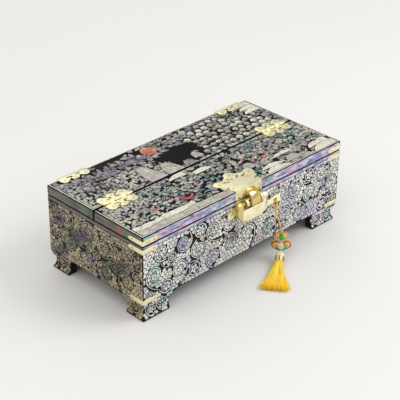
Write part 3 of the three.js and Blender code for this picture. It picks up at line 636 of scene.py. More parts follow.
def wear_nodes(tree: Tree, give: Sockets) -> dict[str, Socket]:
    """Varies gloss: soft smears and fine hair scratches."""
    smear = noise(tree, give["Place"], 45, 4)
    hair = add(tree, "ShaderNodeTexWave",
               {"Vector": give["Place"], "Scale": 260.0, "Distortion": 18.0, "Detail": 3.0},
               wave_type="BANDS").outputs[1]
    amount = calc(tree, "ADD", calc(tree, "MULTIPLY", smear, 0.8), calc(tree, "MULTIPLY", hair, 0.2))
    span = calc(tree, "SUBTRACT", give["High"], give["Low"])
    return {"Roughness": calc(tree, "ADD", give["Low"], calc(tree, "MULTIPLY", amount, span))}


PEARL = Effect("pearl_colour", {"Place": "Vector", "Scale": "Float", "Pale": "Color", "Second": "Color",
                                "Third": "Color", "Fourth": "Color"}, {"Colour": "Color", "Streak": "Float"},
               pearl_nodes)
JOINTS = Effect("shell_joints", {"Place": "Vector", "Scale": "Float", "Width": "Float"}, {"Joint": "Float"},
                joint_nodes)
WEAR = Effect("handled_gloss", {"Place": "Vector", "Low": "Float", "High": "Float"}, {"Roughness": "Float"},
              wear_nodes)


def worn(tree: Tree, place: Socket, low: float, high: float) -> Socket:
    """Gives a roughness that handling has varied between two values."""
    return WEAR.use(tree, {"Place": place, "Low": low, "High": high})["Roughness"]


def relief(tree: Tree, height: Socket, strength: float, distance: float) -> Socket:
    """Gives a fine relief for a shader's normal, with its height as a distance in metres."""
    values = {"Strength": strength, "Distance": distance, "Height": height}
    return add(tree, "ShaderNodeBump", values).outputs["Normal"]


# Finishes


@dataclass(frozen=True)
class Finish:
    """What a surface looks like, under the name of its material."""

    name: str

    def material(self) -> Material:
        """Builds the material, or gives back the one that was built before.

        Returns:
            The material.
        """
        known = bpy.data.materials.get(self.name)
        if known:
            return known
        made = bpy.data.materials.new(self.name)
        made.use_nodes = True
        tree = made.node_tree
        feed(tree, tree.nodes["Principled BSDF"], self.sockets(tree))
        return made

    def sockets(self, tree: Tree) -> dict[str, object]:
        """Draws the nodes, and gives what goes into each of the shader's inputs."""
        raise NotImplementedError


@dataclass(frozen=True)
class LacquerFinish(Finish):
    """Plain black lacquer over wood, glossy or satin."""

    colour: Colour = (0.008, 0.007, 0.007)
    low: float = 0.12
    high: float = 0.3
    shine: float = 0.1

    def sockets(self, tree: Tree) -> dict[str, object]:
        """Draws the nodes, and gives what goes into each of the shader's inputs."""
        place = place_of(tree)
        tone = blend(tree, ramp(tree, noise(tree, place, 30), 0.4, 0.7), self.colour,
                     tuple(2.2 * part for part in self.colour))
        return {"Base Color": tone, "Roughness": worn(tree, place, self.low, self.high),
                "Specular IOR Level": self.shine, "Coat Weight": 0.3 * self.shine, "Coat Roughness": 0.08,
                "Normal": relief(tree, noise(tree, place, 140, 2), 0.15, 0.0002)}


@dataclass(frozen=True)
class ColourCloud:
    """A patch where the shell of a wall shows one colour."""

    place: tuple[float, float, float]
    radius: float
    colour: Colour
    share: float = 0.8


def clouded(tree: Tree, colour: Socket,
            clouds: tuple[ColourCloud, ...]) -> Socket:
    """Lays soft patches of other colours over a colour.

    Args:
        tree: The material's tree.
        colour: The colour's socket.
        clouds: The patches.

    Returns:
        The clouded colour's socket.
    """
    if not clouds:
        return colour
    own = place_of(tree)
    ragged = calc(tree, "MULTIPLY", noise(tree, own, 90, 4), 0.022)
    for cloud in clouds:
        far = add(tree, "ShaderNodeVectorMath", {0: own, 1: cloud.place}, operation="DISTANCE").outputs["Value"]
        edge = calc(tree, "ADD", far, ragged)
        inside = ramp(tree, edge, cloud.radius + 0.015, cloud.radius + 0.006, 0, cloud.share)
        colour = blend(tree, inside, colour, cloud.colour)
    return colour


@dataclass(frozen=True)
class ShellFinish(Finish):
    """Shell sheet under clear lacquer: clouds of pearl colours, dark joints between its bits."""

    sort: Pearl
    scale: float = 28.0
    joint_scale: float = 260.0
    joint_width: float = 0.06
    joint_share: float = 0.5
    stretch: tuple[float, float, float] = (1, 1, 1)
    clouds: tuple[ColourCloud, ...] = ()
    ink: float = 0.0
    ink_scale: float = 180.0
    ink_stretch: tuple[float, float, float] = (0.7, 1.2, 1)
    hole: float = 1.0

    def sockets(self, tree: Tree) -> dict[str, object]:
        """Draws the nodes, and gives what goes into each of the shader's inputs."""
        place = place_of(tree, self.stretch)
        pale, second, third, fourth = (full(colour) for colour in self.sort.value)
        pearl = PEARL.use(tree, {"Place": place, "Scale": self.scale, "Pale": pale, "Second": second,
                                 "Third": third, "Fourth": fourth})
        colour = clouded(tree, pearl["Colour"], self.clouds)
        joints = JOINTS.use(tree, {"Place": place, "Scale": self.joint_scale, "Width": self.joint_width})["Joint"]
        dark = calc(tree, "MULTIPLY", joints, self.joint_share)
        if self.ink:
            dark = calc(tree, "MAXIMUM", dark, self.inked(tree))
        return {"Base Color": blend(tree, dark, colour, (0.015, 0.014, 0.014)),
                "Roughness": ramp(tree, pearl["Streak"], 0.7, 1.2, 0.36, 0.22),
                "Specular IOR Level": 0.35, "Coat Weight": 0.2, "Coat Roughness": 0.1,
                "Normal": relief(tree, joints, 0.2, -0.0001)}

    def inked(self, tree: Tree) -> Socket:
        """Gives ragged open lines and holes, as cut into the shell with a fret saw."""
        vein = noise(tree, place_of(tree, self.ink_stretch), self.ink_scale, 5)
        off = calc(tree, "ABSOLUTE", calc(tree, "SUBTRACT", vein, 0.5))
        patch = ramp(tree, noise(tree, place_of(tree), 60, 2), 0.42, 0.56, 0.35, 1)
        lines = calc(tree, "MULTIPLY", ramp(tree, off, 0.024, 0.040, self.ink, 0), patch)
        return calc(tree, "MAXIMUM", lines, ramp(tree, vein, self.hole, self.hole + 0.02, 0, 1))


@dataclass(frozen=True)
class BrassFinish(Finish):
    """Thin polished brass, pale as gold leaf, with faint engraving."""

    colour: Colour = (0.90, 0.85, 0.55)
    low: float = 0.28
    high: float = 0.4
    engraving: float = 0.03

    def sockets(self, tree: Tree) -> dict[str, object]:
        """Draws the nodes, and gives what goes into each of the shader's inputs."""
        place = place_of(tree)
        warm = tuple(part * share for part, share in zip(self.colour, (0.88, 0.78, 0.5)))
        tone = blend(tree, ramp(tree, noise(tree, place, 120, 4), 0.52, 0.75), self.colour, warm)
        return {"Base Color": tone, "Roughness": worn(tree, place, self.low, self.high), "Metallic": 1,
                "Normal": relief(tree, noise(tree, place, 420, 2), self.engraving, 0.0003)}


@dataclass(frozen=True)
class VelvetFinish(Finish):
    """Short-piled velvet, lighter where the pile is stroked the other way."""

    name: str = "wine_velvet"
    deep: Colour = (0.10, 0.006, 0.016)
    light: Colour = (0.26, 0.018, 0.040)

    def sockets(self, tree: Tree) -> dict[str, object]:
        """Draws the nodes, and gives what goes into each of the shader's inputs."""
        place = place_of(tree)
        stroked = ramp(tree, noise(tree, place, 38, 3), 0.35, 0.7)
        pile = noise(tree, place, 2400, 2)
        tone = blend(tree, stroked, self.deep, self.light)
        tone = blend(tree, ramp(tree, pile, 0.4, 0.8, 0, 0.35), tone, (0.5, 0.1, 0.14))
        return {"Base Color": tone, "Roughness": 0.95, "Specular IOR Level": 0.15, "Sheen Weight": 0.6,
                "Sheen Roughness": 0.4, "Sheen Tint": (0.9, 0.4, 0.45, 1),
                "Normal": relief(tree, pile, 0.5, 0.0004)}


@dataclass(frozen=True)
class ThreadFinish(Finish):
    """Silk thread or braided cord, with fine strands along one direction."""

    deep: Colour
    light: Colour
    grain: tuple[float, float, float] = (900, 900, 160)
    tip: Colour | None = None
    tip_from: Vector | None = None
    tip_reach: float = 0.05
    lie: float = 0.0

    def sockets(self, tree: Tree) -> dict[str, object]:
        """Draws the nodes, and gives what goes into each of the shader's inputs."""
        own = add(tree, "ShaderNodeTexCoord").outputs["Object"]
        laid = add(tree, "ShaderNodeVectorRotate", {"Vector": own, "Angle": self.lie},
                   rotation_type="Z_AXIS").outputs[0]
        grain = add(tree, "ShaderNodeMapping", {"Vector": laid, "Scale": self.grain}).outputs["Vector"]
        strands = noise(tree, grain, 1, 3)
        tone = blend(tree, ramp(tree, strands, 0.35, 0.65), self.deep, self.light)
        if self.tip and self.tip_from is not None:
            far = add(tree, "ShaderNodeVectorMath", {0: own, 1: self.tip_from[:]}, operation="DISTANCE")
            reach = ramp(tree, far.outputs["Value"], 0.25 * self.tip_reach, self.tip_reach)
            tone = blend(tree, reach, tone, self.tip, "MULTIPLY")
        return {"Base Color": tone, "Roughness": 0.55, "Specular IOR Level": 0.35, "Sheen Weight": 0.25,
                "Sheen Tint": (1, 0.85, 0.4, 1), "Normal": relief(tree, strands, 0.4, 0.0003)}


@dataclass(frozen=True)
class EnamelFinish(Finish):
    """Glossy enamel or polished stone of one colour with a cloudy depth."""

    colour: Colour
    cloud: Colour
    roughness: float = 0.14

    def sockets(self, tree: Tree) -> dict[str, object]:
        """Draws the nodes, and gives what goes into each of the shader's inputs."""
        clouds = noise(tree, place_of(tree), 300, 4)
        return {"Base Color": blend(tree, ramp(tree, clouds, 0.4, 0.65), self.colour, self.cloud),
                "Roughness": self.roughness, "Coat Weight": 0.5, "Coat Roughness": 0.05,
                "Normal": relief(tree, clouds, 0.1, 0.0002)}


@dataclass(frozen=True)
class MirrorFinish(Finish):
    """Silvered glass with a faint haze."""

    name: str = "silvered_glass"

    def sockets(self, tree: Tree) -> dict[str, object]:
        """Draws the nodes, and gives what goes into each of the shader's inputs."""
        haze = noise(tree, place_of(tree), 20, 3)
        tone = blend(tree, ramp(tree, haze, 0.4, 0.8), (0.90, 0.92, 0.92), (0.84, 0.87, 0.88))
        return {"Base Color": tone, "Roughness": ramp(tree, haze, 0.3, 0.8, 0.01, 0.05), "Metallic": 1}


@dataclass(frozen=True)
class TableFinish(Finish):
    """A matt table top of one colour, very faintly clouded."""

    colour: Colour

    def sockets(self, tree: Tree) -> dict[str, object]:
        """Draws the nodes, and gives what goes into each of the shader's inputs."""
        tone = blend(tree, ramp(tree, noise(tree, place_of(tree), 2, 2), 0.3, 0.7), self.colour,
                     tuple(0.985 * part for part in self.colour))
        return {"Base Color": tone, "Roughness": 0.6, "Specular IOR Level": 0.2}


GLOSS_BLACK = LacquerFinish("gloss_black_lacquer")
INLAY_BLACK = LacquerFinish("inlay_line_black", (0.006, 0.005, 0.005), 0.2, 0.4, 0.02)
SATIN_BLACK = LacquerFinish("satin_black_lacquer", (0.014, 0.010, 0.009), 0.35, 0.5)
BRASS = BrassFinish("pale_brass")
LOCK_BRASS = BrassFinish("lock_brass", (0.98, 0.94, 0.66), 0.06, 0.18, 0.015)
# A darker copy of the lock's brass for the hook and the shackle: painted dark reflections.
HOOK_BRASS_PAINTED_DARK = BrassFinish("amber_hook_brass", (0.72, 0.56, 0.22), 0.05, 0.14, 0.015)
PIN_BRASS = BrassFinish("turned_pin_brass", (0.80, 0.64, 0.30), 0.16, 0.3)
NAIL_BRASS = BrassFinish("nail_brass", (0.42, 0.32, 0.16), 0.25, 0.45)
VELVET = VelvetFinish()


# Camera, floor and light


@dataclass
class Studio:
    """The camera of the photograph, a pale floor and soft light."""

    azimuth: float = -45.298
    elevation: float = 29.922
    roll: float = 0.808
    distance: float = 1.25786
    target: Vector = Vector((0.001277, 0.002661, 0.050))
    focal_share: float = 1226.386 / 400
    sensor: float = 36.0
    floor_size: float = 6.0
    floor_colour: Colour = (0.82, 0.815, 0.802)
    bright: float = 0.73
    dim: float = 0.78
    warm: Colour = (1.0, 0.94, 0.85)
    cool: Colour = (0.99, 0.995, 1.0)
    bright_side: Vector = Vector((0.75, -0.35, 0.55))
    key_power: float = 11.0

    def build(self) -> None:
        """Makes the camera first, then the floor, the lamps and the world."""
        self.camera()
        self.floor()
        self.lamp("key", Vector((0.85, -0.95, 1.25)), 0.9, self.key_power)
        self.lamp("window", Vector((0.5, 1.3, 1.2)), 1.2, self.key_power * 0.25)
        self.lamp("fill", Vector((-1.1, -0.1, 1.5)), 1.5, self.key_power * 0.6)
        self.world()
        bpy.context.scene.view_settings.view_transform = "Standard"

    def camera(self) -> None:
        """Sets the camera at the photograph's angle and distance."""
        a, e, roll = (math.radians(v) for v in (self.azimuth, self.elevation, self.roll))
        back = Vector((math.sin(a) * math.cos(e), -math.cos(a) * math.cos(e), math.sin(e)))
        right = Vector((math.cos(a), math.sin(a), 0))
        up = back.cross(right)
        level_right = right * math.cos(roll) + up * math.sin(roll)
        level_up = up * math.cos(roll) - right * math.sin(roll)
        data = bpy.data.cameras.new("photo_camera")
        data.sensor_width = self.sensor
        data.lens = self.focal_share * self.sensor
        camera = placed("photo_camera", data)
        turned = Matrix((level_right, level_up, back)).transposed().to_4x4()
        camera.matrix_world = Matrix.Translation(self.target + back * self.distance) @ turned
        bpy.context.scene.camera = camera

    def floor(self) -> None:
        """Lays the table top that the box stands on."""
        floor = primitive(bpy.ops.mesh.primitive_plane_add, "table_top", size=self.floor_size, location=(0, 0, 0))
        coat(floor, TableFinish("pale_table", self.floor_colour))
        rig.stage(floor)

    def lamp(self, name: str, place: Vector, size: float, power: float) -> None:
        """Hangs a soft lamp that points at the box.

        Args:
            name: The lamp's name.
            place: Where it hangs.
            size: The side of its square face.
            power: Its power in watts.
        """
        data = bpy.data.lights.new(name, "AREA")
        data.size = size
        data.energy = power
        lamp = placed(name, data)
        lamp.location = place
        lamp.rotation_mode = "QUATERNION"
        lamp.rotation_quaternion = (place - self.target).to_track_quat("Z", "Y")

    def world(self) -> None:
        """Fills the room with soft light that comes more from the right than from the left."""
        world = bpy.data.worlds.new("studio")
        world.use_nodes = True
        bpy.context.scene.world = world
        tree = world.node_tree
        sky = tree.nodes["Background"]
        way = add(tree, "ShaderNodeTexCoord").outputs["Generated"]
        side = add(tree, "ShaderNodeVectorMath", {0: way, 1: self.bright_side.normalized()[:]},
                   operation="DOT_PRODUCT").outputs["Value"]
        tree.links.new(ramp(tree, side, -0.8, 0.8, self.dim, self.bright), sky.inputs["Strength"])
        tint = blend(tree, ramp(tree, side, -0.6, 0.6), self.warm, self.cool)
        tree.links.new(tint, sky.inputs["Color"])


# Inlay


class Cut(Enum):
    """The outlines that bits of shell are cut to, as (fullness, lobes, depth of the lobes)."""

    LEAF = (1.35, 0, 0.0)
    LOBED = (1.9, 3, 0.36)
    PETAL = (1.7, 0, 0.0)
    BLOSSOM = (2.0, 5, 0.27)


@dataclass(frozen=True)
class Bit:
    """A bit of shell before it is cut: its middle, heading and size in millimetres."""

    x: float
    y: float
    turn: float
    length: float
    width: float
    cut: Cut = Cut.LEAF
    sort: Pearl = Pearl.CREAM
    rough: float = 0.0

    def reach(self, angles: np.ndarray) -> np.ndarray:
        """Gives how far the outline lies from the middle, for angles from the heading."""
        fullness, lobes, depth = self.cut.value
        along = np.abs(np.cos(angles) * 2 / self.length) ** fullness
        across = np.abs(np.sin(angles) * 2 / self.width) ** fullness
        ragged = 1 + self.rough * np.sin(4 * angles + self.x) * np.cos(3 * angles + 2 * self.y)
        return (along + across) ** (-1 / fullness) * (1 + depth * np.cos(lobes * angles)) * ragged


def grown(bits: Sequence[Bit], guards: Stroke, gap: float, points: int = 18) -> dict[Pearl, list[Outline]]:
    """Cuts bits of shell so that each keeps a gap from its neighbours and from what stands already.

    Args:
        bits: The bits, which may crowd each other.
        guards: Places (x, y, half width) that stay clear.
        gap: The width of the dark line between two bits.
        points: How many corners each bit gets.

    Returns:
        The outlines for each sort of shell.
    """
    cut: dict[Pearl, list[Outline]] = {}
    spots = np.array([(bit.x, bit.y) for bit in bits] + [(x, y) for x, y, _ in guards])
    sizes = np.array([bit.length + bit.width for bit in bits])
    halves = np.array([half for _, _, half in guards])
    around = TURN * np.arange(points) / points
    for i, bit in enumerate(bits):
        away = spots - spots[i]
        far = np.hypot(away[:, 0], away[:, 1])
        far[i] = 1000
        count = len(bits)
        room = np.concatenate((far[:count] * sizes[i] / (sizes[i] + sizes) - gap / 2, far[count:] - halves - 1.5 * gap))
        if room.min() < 0.35:
            continue
        ways = np.stack((np.cos(bit.turn + around), np.sin(bit.turn + around)), 1)
        reach = bit.reach(around)
        near = room < reach.max()
        if near.any():
            along = ways @ (away[near] / far[near, None]).T
            limits = np.where(along > 0.05, room[near] / np.maximum(along, 0.05), 1000)
            reach = np.minimum(reach, limits.min(1))
        cut.setdefault(bit.sort, []).append([(x, y) for x, y in spots[i] + ways * reach[:, None]])
    return cut


def ribbon(line: Stroke) -> Outline:
    """Gives the outline of a flat ribbon along a line of (x, y, half width)."""
    left, right = [], []
    for k, (x, y, half) in enumerate(line):
        a, b = line[max(0, k - 1)], line[min(len(line) - 1, k + 1)]
        way = Vector((b[0] - a[0], b[1] - a[1])).normalized() * half
        left.append((x - way.y, y + way.x))
        right.append((x + way.y, y - way.x))
    return left + right[::-1]


def ring(x: float, y: float, radius: float, points: int = 16, lobes: int = 0, depth: float = 0.0) -> Outline:
    """Gives a round outline, scalloped where it has lobes."""
    outline = []
    for k in range(points):
        angle = TURN * k / points
        reach = radius * (1 + depth * math.cos(lobes * angle))
        outline.append((x + reach * math.cos(angle), y + reach * math.sin(angle)))
    return outline


def spiral(x: float, y: float, outer: float, inner: float, start: float, turn: float, half: float) -> Stroke:
    """Draws a spiral ribbon that thins towards its inner end.

    Args:
        x: Its middle.
        y: Its middle.
        outer: The radius where it starts.
        inner: The radius where it ends.
        start: The angle where it starts.
        turn: How far it turns, and which way.
        half: Its half width where it starts.

    Returns:
        The line.
    """
    points = max(10, int(abs(turn) / TURN * 34))
    drawn = []
    for i in range(points):
        t = i / (points - 1)
        radius = outer + (inner - outer) * t
        angle = start + turn * t
        drawn.append((x + radius * math.cos(angle), y + radius * math.sin(angle), half * (1 - 0.4 * t)))
    return drawn


def filled(line: Stroke, step: float = 1.6) -> Stroke:
    """Puts guards along a line, close enough that nothing slips between them."""
    guards = []
    for (ax, ay, ah), (bx, by, bh) in zip(line, line[1:]):
        pieces = max(1, math.ceil(math.hypot(bx - ax, by - ay) / step))
        for k in range(pieces):
            t = k / pieces
            guards.append((ax + (bx - ax) * t, ay + (by - ay) * t, ah + (bh - ah) * t))
    return guards + [line[-1]]


def clipped(outlines: Iterable[Outline], half_width: float, low: float, high: float) -> list[Outline]:
    """Cuts outlines off along the sides of a rectangle about x = 0.

    Args:
        outlines: The outlines.
        half_width: Half the width of the rectangle.
        low: Its lower side.
        high: Its upper side.

    Returns:
        What is left of each outline, without those that lie outside.
    """
    left = []
    for outline in outlines:
        for axis, way, limit in ((0, 1, half_width), (0, -1, half_width), (1, 1, high), (1, -1, -low)):
            kept: Outline = []
            for a, b in zip(outline[-1:] + outline, outline):
                before, after = limit - way * a[axis], limit - way * b[axis]
                if (before < 0) != (after < 0):
                    t = before / (before - after)
                    kept.append((a[0] + (b[0] - a[0]) * t, a[1] + (b[1] - a[1]) * t))
                if after >= 0:
                    kept.append(b)
            outline = kept
        if len(outline) > 2:
            left.append(outline)
    return left


@dataclass
class VineWork:
    """Scrolls of several sizes and leaves that fill a rectangle about x = 0, standing on y = low."""

    half: float
    low: float
    high: float
    seed: int
    radii: tuple[float, ...] = (10.8, 9.2, 7.4, 5.4)
    pitch: float = 4.5
    vine: float = 0.55
    gap: float = 0.56
    tries: int = 500
    fits: Callable[[float, float, float], bool] = lambda x, y, radius: True

    def build(self) -> tuple[list[Outline], list[Stroke]]:
        """Cuts all the shell of the rectangle.

        Returns:
            The outlines of the shell and the dark veins drawn over it.
        """
        self.chance = random.Random(self.seed)
        self.bits: list[Bit] = []
        self.guards: Stroke = []
        self.ribbons: list[Outline] = []
        self.rounds: list[tuple[float, float, float, float, int, float]] = []
        self.stems: Stroke = []
        for radius in self.radii:
            for _ in range(self.tries):
                x = self.chance.uniform(radius - self.half, self.half - radius)
                y = self.chance.uniform(self.low + radius, max(self.low + radius, self.high - radius))
                clear = all(math.hypot(x - cx, y - cy) > radius + r + 1.2 for cx, cy, r, *_ in self.rounds)
                if clear and radius < min(self.half, (self.high - self.low) / 2) and self.fits(x, y, radius):
                    self.rounds.append((x, y, radius, self.chance.uniform(0, TURN), self.chance.choice((-1, 1)),
                                        0.5 * radius if radius > 8 else 1.5))
        for spot in self.rounds:
            self.scroll(*spot)
        self.leaves()
        shell = [o for group in grown(self.bits, self.guards, self.gap).values() for o in group]
        veins = [self.vein(bit) for bit in self.bits if bit.length > 8.2]
        shell = clipped(shell + self.ribbons, self.half, self.low, self.high)
        return shell, [vein for vein in veins if self.holds(vein)]

    def holds(self, line: Stroke) -> bool:
        """Tells whether a line lies wholly in the rectangle."""
        return all(abs(x) < self.half - 0.5 and self.low + 0.5 < y < self.high - 0.5 for x, y, _ in line)

    def vein(self, bit: Bit) -> Stroke:
        """Draws a leaf's midrib."""
        ca, sa = math.cos(bit.turn) * bit.length, math.sin(bit.turn) * bit.length
        return [(bit.x - 0.25 * ca, bit.y - 0.25 * sa, 0.12), (bit.x + 0.25 * ca, bit.y + 0.25 * sa, 0.22)]

    def scroll(self, x: float, y: float, radius: float, start: float, way: int, lane: float) -> None:
        """Lays one scroll: a stem that comes in from beside it and winds in, with leaves along it or a flower.

        Args:
            x: Its middle.
            y: Its middle.
            radius: Its radius.
            start: The angle where its stem reaches it.
            way: The way it winds.
            lane: How far it has wound in after a whole turn.
        """
        wide = lane > 2
        turns = 1.4 if wide else 0.97
        line = self.stem(x, y, radius, start, way)
        line += spiral(x, y, radius, radius - turns * lane, start, way * turns * TURN, self.vine)
        self.ribbons.append(ribbon(line))
        self.guards += filled(line)
        if not wide:
            self.flower(x, y, radius - lane - self.vine - 0.6, self.chance.choice((5, 6, 7)))
            return
        walked = 0.05
        while walked < turns - 0.25:
            reach, angle = radius - lane * (walked + 0.52), start + way * TURN * walked
            turn = angle + way * (math.pi / 2 + self.chance.uniform(-0.9, 0.5))
            self.bits.append(Bit(x + reach * math.cos(angle), y + reach * math.sin(angle), turn,
                                 self.chance.uniform(5.4, 7.4), 1.1 * lane, Cut.LOBED))
            walked += 3.9 / (TURN * reach)
        self.bits.append(Bit(x, y, start, 0.5 * radius, 0.5 * radius, Cut.BLOSSOM))

    def stem(self, x: float, y: float, radius: float, start: float, way: int) -> Stroke:
        """Draws the stem that peels off a scroll, as far as it stays clear of the others."""
        drawn: Stroke = []
        for k in range(1, 14):
            reach, angle = radius + 0.055 * k * k, start - way * 1.3 * k / radius
            px, py = x + reach * math.cos(angle), y + reach * math.sin(angle)
            near = [math.hypot(px - r[0], py - r[1]) - r[2] for r in self.rounds if r[:2] != (x, y)]
            near += [math.hypot(px - a, py - b) - 0.6 for a, b, _ in self.stems]
            walls = min(self.half - abs(px), py - self.low, self.high - py)
            if min(near, default=9) < 1.2 or walls < 1 or not self.fits(px, py, 0.6):
                break
            drawn.append((px, py, self.vine * (1 - 0.05 * k)))
        self.stems += drawn
        return drawn[::-1]

    def flower(self, x: float, y: float, size: float, petals: int) -> None:
        """Lays a ring of petals round an eye, reaching to a radius."""
        self.bits.append(Bit(x, y, 0, size * 0.55, size * 0.55, Cut.PETAL))
        first = self.chance.uniform(0, TURN)
        for k in range(petals):
            angle = first + TURN * k / petals
            self.bits.append(Bit(x + 0.66 * size * math.cos(angle), y + 0.66 * size * math.sin(angle), angle,
                                 size * 0.95, size * 0.85, Cut.LOBED))

    def leaves(self) -> None:
        """Strews leaves over what is left, each turned along the nearest scroll."""
        rows = max(1, round((self.high - self.low) / (self.pitch * 0.8)))
        step = (self.high - self.low) / rows
        for row in range(rows):
            x = -self.half + self.pitch * (0.25 + 0.5 * (row % 2))
            while x < self.half:
                px = x + self.chance.uniform(-0.9, 0.9)
                py = self.low + step * (row + 0.5) + self.chance.uniform(-0.7, 0.7)
                x += self.pitch
                if self.within(px, py):
                    continue
                near = ((math.hypot(px - r[0], py - r[1]) - r[2], r[0], r[1]) for r in self.rounds)
                cx, cy = min(near, default=(0, 0, 0))[1:]
                turn = math.atan2(py - cy, px - cx) + math.pi / 2 + self.chance.uniform(-0.8, 0.8)
                cut = self.chance.choice((Cut.LEAF, Cut.LOBED, Cut.LOBED, Cut.BLOSSOM))
                self.bits.append(Bit(px, py, turn, self.chance.uniform(6.4, 9.6), 5.0, cut))

    def within(self, px: float, py: float) -> bool:
        """Tells whether a spot lies inside the outermost turn of a scroll."""
        for x, y, radius, start, way, lane in self.rounds:
            far = math.hypot(px - x, py - y)
            along = (math.atan2(py - y, px - x) - start) * way % TURN
            if far < radius - lane * along / TURN + self.vine + self.gap + 0.4:
                return True
        return False


# Walls


@dataclass
class InlaidCase:
    """The case's walls and feet: black lacquer with shell scrolls and a narrow pearl band on top."""

    band: float = 3.4
    margin: float = 0.7
    foot_margin: float = 1.3

    walls = {"case_front": Facing.FRONT, "case_back": Facing.BACK, "case_left": Facing.LEFT,
             "case_right": Facing.RIGHT}

    def build(self, nodes: dict[str, Piece]) -> None:
        """Dresses the walls, the feet and the base.

        Args:
            nodes: The frame's solids by name.
        """
        for seed, (name, facing) in enumerate(self.walls.items()):
            self.dress_wall(nodes[name], name, facing, seed)
        for seed, name in enumerate(n for n in sorted(nodes) if n.startswith("foot_")):
            self.dress_foot(nodes[name], name, seed)
        coat(nodes["case_base"], SATIN_BLACK)

    def finish(self, facing: Facing) -> ShellFinish:
        """Gives the shell of a wall: pale in front and on the right; elsewhere a darker, warmer copy with denser dark
        lines, which is painted shade.
        """
        bright = facing in (Facing.FRONT, Facing.RIGHT)
        # The walls on the left and behind get painted shade: a darker, warmer shell and denser ink.
        name, sort = ("bright_wall_shell", Pearl.CREAM) if bright else ("sandy_wall_shell", Pearl.KHAKI)
        return ShellFinish(name, sort, 30, 700, 0.05, 0.25, clouds=self.clouds(), ink=0.3 if bright else 0.8,
                           ink_scale=190, ink_stretch=(1, 1, 1))

    def clouds(self) -> tuple[ColourCloud, ...]:
        """Gives the colour patches of the walls."""
        violet, lilac, teal, rose = (0.36, 0.28, 0.52), (0.56, 0.50, 0.68), (0.26, 0.52, 0.46), (0.66, 0.38, 0.50)
        umber, plum, moss, brick = (0.09, 0.08, 0.07), (0.14, 0.09, 0.15), (0.10, 0.22, 0.13), (0.45, 0.08, 0.06)
        front = ((-0.092, 0.066, 0.009, violet), (-0.080, 0.040, 0.009, lilac), (-0.128, 0.034, 0.006, teal),
                 (-0.132, 0.026, 0.003, rose), (-0.020, 0.046, 0.008, umber), (-0.050, 0.032, 0.010, lilac),
                 (0.014, 0.060, 0.007, violet), (0.030, 0.036, 0.008, teal), (0.064, 0.062, 0.009, lilac),
                 (0.100, 0.030, 0.011, lilac), (0.118, 0.052, 0.008, violet), (0.086, 0.042, 0.006, teal),
                 (-0.060, 0.060, 0.005, umber), (0.050, 0.028, 0.006, rose), (0.112, 0.022, 0.014, (0.86, 0.80, 0.92)),
                 (0.134, 0.012, 0.008, (0.62, 0.90, 0.82)), (-0.128, 0.010, 0.006, (0.80, 0.90, 0.86)))
        made = [ColourCloud((x, -0.065, z), radius, colour, 0.7) for x, z, radius, colour in front]
        left = ((0.030, 0.054, 0.010, umber), (0.018, 0.060, 0.007, plum), (0.006, 0.036, 0.005, violet),
                (-0.026, 0.062, 0.005, moss), (-0.030, 0.050, 0.003, brick), (-0.038, 0.048, 0.006, umber),
                (0.052, 0.064, 0.009, plum), (0.044, 0.030, 0.006, umber))
        made += [ColourCloud((-0.140, y + 0.0035, z), radius, colour, 0.9) for y, z, radius, colour in left]
        return tuple(made)

    def dress_wall(self, node: Piece, name: str, facing: Facing, seed: int) -> None:
        """Lays the scrolls and the band on one wall.

        Args:
            node: The wall's solid.
            name: Its name.
            facing: The way its outer face looks.
            seed: The start of its variation.
        """
        coat(node, GLOSS_BLACK)
        face, width, height = face_of(name, facing)
        place = facing.place(face)
        half = width / 2 - self.margin
        top = height - self.band - 0.6
        shell, veins = VineWork(half, self.margin, top - 0.7, seed + 3).build()
        plates = flat_plates(f"shell_{name}", shell, SHELL_RISE, place)
        dress(plates, self.finish(facing), "case", "lacquer")
        lines = stroke_work(f"veins_{name}", veins, 0.3, place @ Matrix.Translation((0, 0, SHELL_RISE)))
        dress(lines, INLAY_BLACK, "case", "lacquer")
        strip = [[(-half, top), (half, top), (half, top + self.band), (-half, top + self.band)]]
        band = flat_plates(f"band_{name}", strip, SHELL_RISE, place)
        dress(band, band_finish(facing), "case", "lacquer")

    def dress_foot(self, node: Piece, name: str, seed: int) -> None:
        """Lays small leaves over the two outer faces of a foot.

        Args:
            node: The foot's solid.
            name: Its name.
            seed: The start of its variation.
        """
        coat(node, GLOSS_BLACK)
        for facing in (Facing.FRONT if "front" in name else Facing.BACK,
                       Facing.LEFT if "left" in name else Facing.RIGHT):
            face, width, height = face_of(name, facing)
            place = facing.place(face)
            out = place.to_3x3() @ Vector((0, 0, 1)) / MM

            def fits(x: float, y: float, radius: float) -> bool:
                """Tells whether a whole scroll lies on the foot."""
                return all(self.landed(node, place @ Vector((px, py, 0)), out) for px, py in ring(x, y, radius + 0.6))

            work = VineWork(width / 2 - 0.6, self.foot_margin, height - 0.6, seed + 20, (5.6, 4.4), 4.1, 0.45, 0.5,
                            fits=fits)
            shell, _ = work.build()
            leaves = shell[:len(shell) - len(work.ribbons)]
            fitted = [self.fitted(node, outline, place, out) for outline in leaves]
            fitted += [line for line in work.ribbons if self.fitted(node, line, place, out) == line]
            shell = [outline for outline in fitted if outline]
            label = f"shell_{name}_{facing.name.lower()}"
            plates = flat_plates(label, shell, SHELL_RISE, place)
            for point in plates.data.vertices:
                rise = (point.co - face).dot(out)
                point.co = self.landed(node, point.co, out) + out * (rise - 0.00003)
            dress(plates, self.finish(facing), "case", "lacquer")

